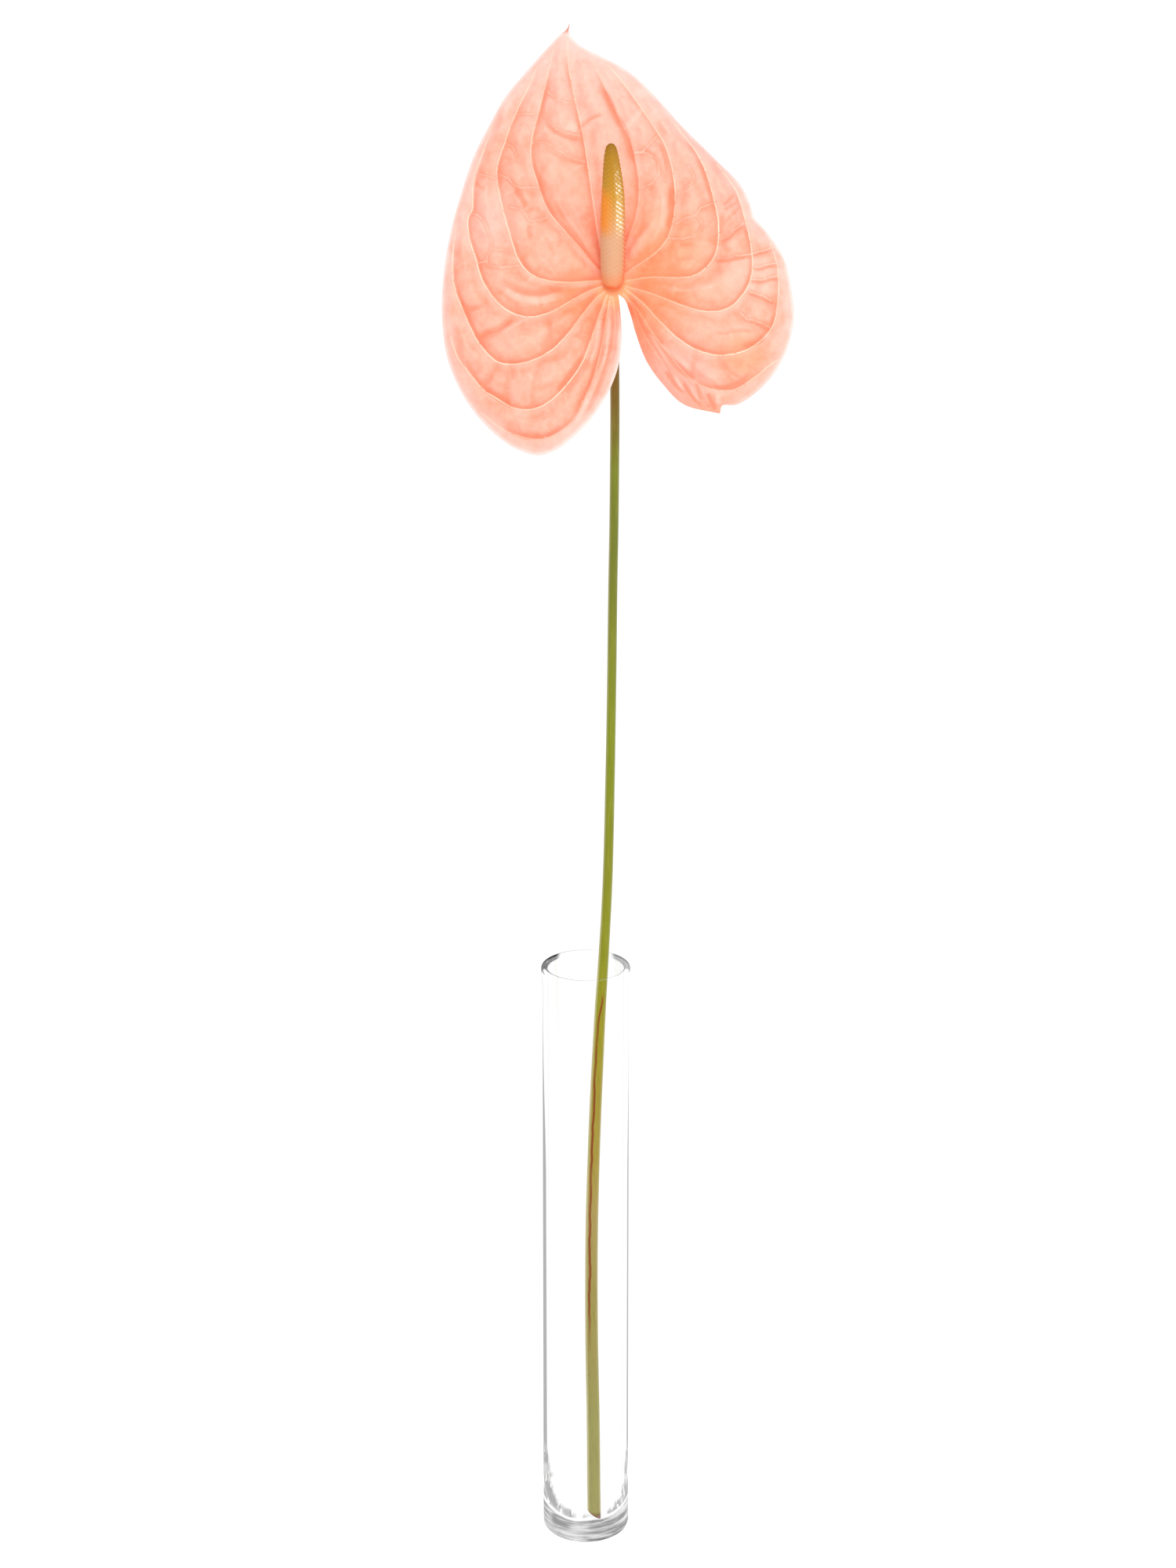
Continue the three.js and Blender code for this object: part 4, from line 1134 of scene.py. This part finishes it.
# %% Spathe: quilts between the veins
away = smooth(HUB_RADIUS, 13, from_hub)
fade = 0.35 + 0.65 * smooth(0, 7, from_margin)
swell = 2.1 * (1 - hump(from_vein, 6))
quilt = 0.9 * (1 - hump(from_cross, 3.5))
cord = (0.26 - 0.16 * vein_share) * hump(from_vein, 0.36)
thread = 0.1 * hump(from_cross, 0.35)


def puckers(size, seed):
    """Soft uneven bumps about size wide, from -1 to 1."""
    return np.array([noise.noise(Vector((px / size, py / size, seed))) for px, py in flat])


between = smooth(0.6, 4, from_vein) * smooth(0.4, 2.5, from_cross) * smooth(1, 6, from_margin)
rough = between * (1.1 * puckers(7, 3.1) + 0.42 * puckers(3, 8.4)) + 0.12 * puckers(1.7, 4.2)
print("quilts stand up to", round(float((swell + quilt).max()), 1), "mm")

# %% [markdown]
# Each big vein lies at the foot of a small step: the sheet drops sharply on its inner side, towards the
# midrib, and rises gently on the outer side. Inner is the right-hand side of the veins that run out to the
# left, and the left-hand side of the others. The two veins beside the notch are alike on both sides.

# %% Spathe: steps at the veins
RUNS_LEFT = range(8, 14)
BESIDE_NOTCH = (0, 14)
runs_left = np.isin(vein_number, RUNS_LEFT)
inner = np.where(runs_left, 1 - on_left, on_left)
inner = np.where(np.isin(vein_number, BESIDE_NOTCH), 0.5, inner)
uneven = 0.75 + 0.5 * puckers(14, 5.5)
beside_vein = smooth(0.1, 0.6, from_vein) * smooth(1.0, 0.8, vein_share) * uneven
# the steep inner side of each step also gets painted shade in the finish, the gentle outer side painted
# light
shaded_step = inner * beside_vein * hump(from_vein, 1.9)
lit_step = (1 - inner) * beside_vein * hump(from_vein, 3)
steps = 0.25 * lit_step - 0.5 * shaded_step
print("the biggest step is", round(float(np.ptp(steps)), 2), "mm")

# %% Spathe: its folds
SOFT_SIDE, SHARP_SIDE = 1.7, 0.55  # how many of its widths a fold spreads to either side
FOLD_PITCH = 1.5


def folded(folds):
    """Height of a set of folds, each soft on its left side and sharp on its right."""
    height = np.zeros(len(flat))
    for width, size, chain in folds:
        line = chain_through(chain, FOLD_PITCH)
        gap, share, left, _ = nearest_line([line], flat)
        ends = smooth(0, 0.25, share) * smooth(1, 0.75, share)
        spread = width * np.where(left > 0.5, SOFT_SIDE, SHARP_SIDE)
        height = np.maximum(height, size * ends * hump(gap, spread))
    return height


crease = folded(CREASES)
ridge = folded(RIDGES)
depth = depth + away * ((swell + quilt) * fade + cord + thread + rough + steps - crease + ridge)
places = in_room(x, y, depth)
print("deepest crease", round(float(crease.max()), 2), "mm")

# %% [markdown]
# Two more measures are only for the colour: how clearly the nearest vein shows at each point, and where
# the margin is pale. It is so all round, but not at the hub and on the right side of the notch, and less
# at the end of the right lobe.

# %% Spathe: measures for its colour
shows = np.array(VEIN_SHOWS)[vein_number.astype(int)]
outer_part = np.abs(2 * vein_share - 1)
end_shows = np.where(vein_share < 0.5, shows[:, 0], shows[:, 2])
shows = end_shows * outer_part + shows[:, 1] * (1 - outer_part)
notch_end = len(chain_through(OUTLINE[0], PITCH)) / len(margin)
pale_rim = smooth(notch_end, notch_end + 0.02, margin_share) * smooth(6, 26, from_hub)
pale_rim *= 1 - 0.5 * bell(x, y, 55, -48, 18, 9)
print("beside the notch and the hub the margin isn't pale:", int((pale_rim < 0.5).sum()), "points")

# %% [markdown]
# The sheet's back could be modelled too, but on a real bract it repeats the front, and veins and folds show
# through. So a Solidify modifier gives the sheet its thickness. It is thinner towards the margin, and it
# grows to the back only, so the front stays where it was measured.

# %% Spathe: a sheet
mesh = bpy.data.meshes.new("spathe_sheet")
mesh.from_pydata((places * MM).tolist(), [], [list(t) for t in triangles])
mesh.update()
spathe = bpy.data.objects.new("spathe_sheet", mesh)
scene.collection.objects.link(spathe)
open_up(spathe)
faces_outwards()
if np.mean([polygon.normal.y for polygon in mesh.polygons]) > 0:
    mesh.flip_normals()  # its front looks towards -Y
flat_places = np.column_stack([x, y, np.zeros(len(x))])
give(spathe, "flat", flat_places, "FLOAT_VECTOR")
measures = {
    "vein": from_vein, "vein_share": vein_share, "cross": from_cross, "rim": from_margin,
    "relief": (swell + quilt) * fade + rough, "shaded_step": shaded_step, "lit_step": lit_step,
    "crease": crease, "ridge": ridge, "shows": shows, "pale_rim": pale_rim,
}
for name, values in measures.items():
    give(spathe, name, values)
print("spathe carries", len(measures), "measures for its finish")

# %% Spathe: its thickness
THICKNESS, RIM_SHARE = 1 * MM, 0.45  # at the middle, and how much of that is left at the margin
THICKNESS_LEVELS = 20
group = spathe.vertex_groups.new(name="thickness")
thick = RIM_SHARE + (1 - RIM_SHARE) * smooth(0, 6, from_margin)
for level in range(round(RIM_SHARE * THICKNESS_LEVELS), THICKNESS_LEVELS + 1):
    chosen = np.nonzero(np.round(thick * THICKNESS_LEVELS).astype(int) == level)[0]
    group.add(chosen.tolist(), level / THICKNESS_LEVELS, "REPLACE")
thickened = spathe.modifiers.new("thickness", "SOLIDIFY")
thickened.thickness = THICKNESS
thickened.offset = -1
thickened.vertex_group = "thickness"
bpy.ops.object.modifier_apply(modifier=thickened.name)
bpy.ops.object.shade_smooth_by_angle(angle=math.radians(60))
stands_for(spathe, "spathe")

# %% [markdown]
# ## The spathe's finish
#
# The colour is laid on as it grows: a peach ground that is orange at the hub and pale towards the tip
# and the margin, and cream on the veins. Light and shade are painted over it too: darker where the sheet
# falls to its veins, in its creases and its valleys, lighter on its domes and ridges.
# It could be painted on by hand, but a painting wouldn't follow the relief when that is changed. So the
# distances that shaped the sheet are read again here as attributes, and colour and form agree.

# %% Finish of the spathe: the ground
GROUND = [  # from the hub, 0, to beyond the tip, 1
    (0.0, (246, 126, 86)),
    (0.12, (250, 146, 110)),
    (0.35, (252, 164, 136)),
    (0.65, (252, 170, 146)),
    (0.85, (252, 178, 158)),
    (1.0, (252, 190, 174)),
]
waxy = Finish("waxy_bract", spathe)
flat_place = waxy.place("flat")
across, along, _ = waxy.add("SeparateXYZ", {0: flat_place}).outputs
hub_gap = waxy.gap(flat_place)
clouds = waxy.cloud(flat_place, 0.035, detail=3)
reach = waxy.maths("MULTIPLY_ADD", clouds, 40, waxy.minus(hub_gap, 20))
waxy.ramp(waxy.maths("DIVIDE", reach, 125), GROUND)
mottle = waxy.cloud(flat_place, 0.16, detail=4, roughness=0.55, distortion=0.6)
waxy.tint(waxy.fall(mottle, 0.45, 0.72, 0, 0.4), 254, 196, 174)
waxy.tint(waxy.fall(mottle, 0.5, 0.25, 0, 0.45), 248, 142, 104)
relief = waxy.measure("relief")
# painted light on the domes, painted shade in the low places between them
waxy.tint(waxy.fall(relief, 1.2, 2.6, 0, 0.35), 255, 198, 176)
waxy.tint(waxy.fall(relief, 1.2, 0.2, 0, 0.45), 248, 144, 108)
upper = waxy.fall(waxy.maths("MULTIPLY_ADD", across, 0.4, along), 40, 105, 0, 0.6)
waxy.tint(upper, 254, 198, 184)
grain = waxy.cloud(flat_place, 0.5, detail=4, roughness=0.6)
waxy.tint(waxy.fall(grain, 0.5, 0.75, 0, 0.17), 255, 210, 192)
waxy.tint(waxy.fall(grain, 0.5, 0.25, 0, 0.17), 246, 134, 100)
waxy.count()

# %% Finish of the spathe: where it is paler or deeper
PATCHES = [  # where, how wide, how strong, and the colour
    ((64.5, 5), 17, 0.4, (255, 216, 200)),
    ((59, -32), 15, 0.5, (248, 160, 112)),
    ((32, 19), 15, 0.35, (249, 160, 116)),
    ((-58, 30), 24, 0.35, (253, 200, 190)),
    ((28, -42), 24, 0.5, (250, 172, 160)),
    ((56, 42), 16, 0.3, (252, 188, 176)),
    ((-15, -6), 20, 0.5, (250, 146, 98)),
    ((-13, 14), 14, 0.4, (255, 186, 152)),
    ((6, 7), 9, 0.55, (255, 196, 156)),
    ((7.5, -9.5), 6, 0.7, (244, 112, 66)),
]
for place, wide, strong, tone in PATCHES:
    patch_gap = waxy.gap(flat_place, (*place, 0))
    waxy.tint(waxy.fall(patch_gap, wide, 0.2 * wide, 0, strong), *tone)
waxy.count()

# %% Finish of the spathe: painted shade and light on steps and folds, and the warm right side
# painted shade on the steep side of each vein's step, painted light on its gentle side
waxy.tint(waxy.fall(waxy.measure("shaded_step"), 0, 0.8, 0, 0.74), 244, 130, 98)
waxy.tint(waxy.fall(waxy.measure("lit_step"), 0.1, 0.9, 0, 0.4), 255, 202, 184)
# painted shade in the creases, painted light on the ridges
waxy.tint(waxy.fall(waxy.measure("crease"), 0.04, 0.48, 0, 0.54), 243, 124, 86)
waxy.tint(waxy.fall(waxy.measure("ridge"), 0.05, 0.45, 0, 0.5), 255, 208, 190)
warm = waxy.times(waxy.fall(hub_gap, 55, 15), waxy.fall(across, 2, 16, 0, 0.5))
waxy.tint(waxy.times(warm, waxy.fall(along, -32, -8)), 249, 152, 96)
cross_gap = waxy.measure("cross")
# painted shade in the valleys beside the cross veins
waxy.tint(waxy.fall(cross_gap, 1.8, 0.5, 0, 0.3), 246, 140, 110)
waxy.count()

# %% [markdown]
# The margin is painted pale in two steps, a broad soft one and a thin one at the very edge, where the
# sheet is thinnest and light comes through. Neither has an even width. The painted shade of the creases
# that reach the margin stays pink in it. Round the hub the colour turns golden.

# %% Finish of the spathe: its margin and hub
uneven_rim = waxy.fall(waxy.cloud(flat_place, 0.12, detail=3), 0, 1, -3, 3)
rim_gap = waxy.plus(waxy.measure("rim"), uneven_rim)
pale_rim = waxy.measure("pale_rim")
waxy.tint(waxy.times(waxy.fall(rim_gap, 8, 0, 0, 0.62), pale_rim), 255, 212, 203)
edge_gap = waxy.maths("MULTIPLY_ADD", uneven_rim, 0.2, waxy.measure("rim"))
waxy.tint(waxy.times(waxy.fall(edge_gap, 1.9, 0.2, 0, 0.55), pale_rim), 255, 238, 232)
# painted shade of the creases, kept pink where they reach the pale margin
rim_crease_shade = waxy.times(waxy.fall(waxy.measure("crease"), 0.1, 0.5, 0, 0.35), waxy.fall(rim_gap, 12, 6))
waxy.tint(rim_crease_shade, 246, 142, 114)
waxy.tint(waxy.fall(hub_gap, 11, 4, 0, 0.8), 255, 170, 110)
waxy.count()

# %% [markdown]
# The veins come last, because they lie on top. A main vein is cream, gets thinner outwards, is clearer in
# some stretches than in others, and turns golden near the hub. A cross vein shows only here and there.

# %% Finish of the spathe: its veins
patchy = waxy.fall(waxy.cloud(flat_place, 0.1, detail=3), 0.3, 0.62, 0.6, 1.0)
width = waxy.fall(waxy.measure("vein_share"), 0, 1, 0.36, 0.27)
line = waxy.fall(waxy.maths("DIVIDE", waxy.measure("vein"), width), 1.4, 0.5)
line = waxy.times(line, patchy, waxy.measure("shows"), waxy.fall(hub_gap, 16, 42, 0.6, 1.0))
waxy.tint(line, 255, 219, 194)
waxy.tint(waxy.times(line, waxy.fall(hub_gap, 40, 12, 0, 0.8)), 255, 182, 132)
some = waxy.fall(waxy.cloud(flat_place, 0.14, detail=2), 0.38, 0.62, 0.2, 0.7)
some = waxy.larger(some, waxy.fall(across, 52, 60, 0, 0.8))
reach_down = waxy.plus(along, waxy.fall(across, 42, 50, 0, 14))
thin_line = waxy.times(waxy.fall(cross_gap, 0.38, 0.08), waxy.fall(reach_down, -10, 0))
waxy.tint(waxy.times(thin_line, some), 255, 202, 180)
waxy.count()

# %% Finish of the spathe: its tip and its skin
waxy.tint(waxy.fall(along, 116.5, 119.5, 0, 0.8), 214, 112, 78)
waxy.set(Base_Color=waxy.colour, Roughness=0.5, Specular_IOR_Level=0.35)
waxy.bump(waxy.cloud(flat_place, 1.6, detail=3), 0.0004, 0.2)
waxy.count()

# %% [markdown]
# ## The spadix
#
# The spadix is a blunt club packed with tiny florets, each a small dome in a diamond-shaped cell. The
# cells lie on two sets of spirals that cross, one to the left and one to the right, as in a pine cone.
# They could be copies of one small dome, but hundreds of those would have to be joined without a seam.
# So a sphere is the start: it has poles, rings and spokes. Its rings are moved out to the club's profile
# and its points raised by the spiral pattern, which gives hundreds of florets in one closed skin.
# At the back of its foot the skin is pressed flat, because there the club grows out of the sheet.

# %% Spadix: a sphere drawn out to a club
SPADIX_LEAN = math.radians(15)
SPADIX_PROFILE = [
    [-4.9, 0], [-4.4, 2.1], [-3.2, 3.7], [-1.4, 4.8], [2, 5.3], [9, 5.6], [17, 5.7], [30, 5.5], [41, 5.1],
    [49, 4.5], [56, 3.8], [61.5, 3.1], [65, 2.3], [66.7, 1.3], [67.2, 0],
]
SPOKES, RINGS = 168, 340
PROFILE_PITCH = 0.05
nothing_selected()
bpy.ops.mesh.primitive_uv_sphere_add(segments=SPOKES, ring_count=RINGS, radius=MM)
spadix = bpy.context.object
ball = points_of(spadix)
share = 1 - np.arccos(np.clip(ball[:, 2], -1, 1)) / math.pi
angle = np.arctan2(ball[:, 1], ball[:, 0])
profile = chain_through(SPADIX_PROFILE, PROFILE_PITCH)
marks = np.linspace(0, 1, len(profile))
along = np.interp(share, marks, profile[:, 0])
radius = np.maximum(np.interp(share, marks, profile[:, 1]), 0)
print("spadix:", round(profile[-1, 0] - profile[0, 0], 1), "mm long")

# %% Spadix: its florets
LEFT_SPIRALS, RIGHT_SPIRALS = 13, 8
SPIRAL_PITCH = 2.2
one = LEFT_SPIRALS * angle / (2 * math.pi) + along / SPIRAL_PITCH
two = -RIGHT_SPIRALS * angle / (2 * math.pi) + along / SPIRAL_PITCH
u, v = one - np.round(one), two - np.round(two)
dome = (1 - np.abs(2 * u) ** 2.4) * (1 - np.abs(2 * v) ** 2.4)
middle = np.exp(-(u**2 / 0.03 + v**2 / 0.1))
round_end = smooth(0, 2.5, radius)
dome_height = 0.1 + 0.14 * smooth(20, 40, along)
raised = round_end * (dome_height * (dome - 0.6) + 0.1 * smooth(10, 30, along) * middle)
florets = (LEFT_SPIRALS + RIGHT_SPIRALS) * np.ptp(along) / SPIRAL_PITCH
print("spadix: about", round(florets), "florets")

# %% Spadix: its lean, its bend and its foot
GROWS_FROM = in_room(-0.5, 4, 3.6)
CLUB_ENDS_AT = -0.3  # inside the sheet, so that no gap shows
BENDS_LEFT = 1.0
axis = np.array([0, -math.sin(SPADIX_LEAN), math.cos(SPADIX_LEAN)])
behind = np.cross(axis, ACROSS)
bend = -BENDS_LEFT * smooth(40, 70, along)
around = np.cos(angle)[:, None] * ACROSS + np.sin(angle)[:, None] * behind
club = GROWS_FROM + along[:, None] * axis + bend[:, None] * ACROSS + (radius + raised)[:, None] * around
sunk = np.minimum((club - in_room(0, 0, CLUB_ENDS_AT)) @ FRONT, 0)
move_points(spadix, club - sunk[:, None] * FRONT)
print("spadix: pressed flat by", round(float(-sunk.min()), 1), "mm where it sits on the sheet")
give(spadix, "floret", dome)
give(spadix, "stigma", middle)
give(spadix, "length", along)
give(spadix, "round", angle)
only(spadix)
bpy.ops.object.shade_smooth()
stands_for(spadix, "spadix")

# %% [markdown]
# ## The spadix's finish
#
# The florets ripen from the base up: cream at the bottom, gold in the middle and olive at the tip, and
# painted shade in the grooves between them shows more towards the tip. They could be coloured one by one,
# but ripeness follows the length of the club, so a ramp does it. The middle florets on the lit side each
# hold a drop of nectar, whose highlight is painted white. An orange glow is painted on the left side half
# way up, the coloured spathe's light is painted into the edges near the base, and shade is painted at
# the foot, where the club meets the sheet.

# %% Finish of the spadix: the ground
SPADIX_COLOURS = [  # from its foot, 0, to its tip, 1
    (0.0, (234, 152, 104)),
    (0.1, (222, 166, 126)),
    (0.35, (220, 166, 126)),
    (0.5, (218, 156, 84)),
    (0.64, (204, 146, 42)),
    (0.78, (190, 136, 18)),
    (0.93, (178, 126, 6)),
    (1.0, (160, 110, 6)),
]
SPADIX_TOP = 67
moist = Finish("floret_skin", spadix)
length = moist.measure("length")
turned = moist.measure("round")
floret = moist.measure("floret")
moist.ramp(moist.maths("DIVIDE", length, SPADIX_TOP), SPADIX_COLOURS)
moist.count()


# %% Finish of the spadix: painted shade in the grooves, a painted glow and painted light on its edges
def region(value, start, end, soft):
    """One inside a range, with soft ends."""
    return moist.times(moist.fall(value, start - soft, start), moist.fall(value, end + soft, end))


groove_shade = moist.times(moist.fall(floret, 0.5, 0.0), moist.fall(length, 15, 50, 0.06, 0.28))
moist.tint(groove_shade, 140, 84, 30)
# a painted orange glow on the left side, half-way up
glow = moist.times(region(length, 29, 40, 9), moist.fall(turned, -1.35, -2.4))
moist.tint(moist.times(glow, 0.85), 243, 140, 22)
# painted light of the coloured spathe on the edge near the base: red in the grooves, pale pink on the
# florets
low_edge = moist.times(moist.fall(length, 32, 22), moist.fall(turned, -0.8, -0.3))
moist.tint(moist.times(low_edge, moist.fall(floret, 0.7, 0.2, 0.4, 0.95)), 240, 96, 50)
moist.tint(moist.times(low_edge, moist.fall(floret, 0.5, 0.9, 0, 0.5)), 252, 176, 146)
# painted shade at the foot, where the club meets the sheet
moist.tint(moist.fall(length, -0.5, -3.2, 0, 0.85), 240, 104, 50)
moist.count()

# %% Finish of the spadix: painted highlights on the nectar drops, and sheen
drop_highlights = moist.times(region(length, 30, 52, 9), region(turned, -1.15, -0.8, 0.3))
drop_highlights = moist.times(drop_highlights, moist.fall(length, 38, 54, 1.0, 0.45))
highlight_noise = moist.cloud(moist.add("TexCoord").outputs["Object"], 480, detail=5, roughness=0.7)
drop_highlight = moist.times(moist.measure("stigma"), moist.fall(highlight_noise, 0.4, 0.62, 0.0, 3.5))
# painted light over the lit band, and a painted white highlight on each drop of nectar
moist.tint(moist.times(drop_highlights, 0.35), 236, 206, 130)
moist.tint(moist.times(drop_highlights, moist.fall(drop_highlight, 0.02, 0.7)), 255, 249, 230)
moist.set(Base_Color=moist.colour, Roughness=0.3, Specular_IOR_Level=0.35)
moist.count()
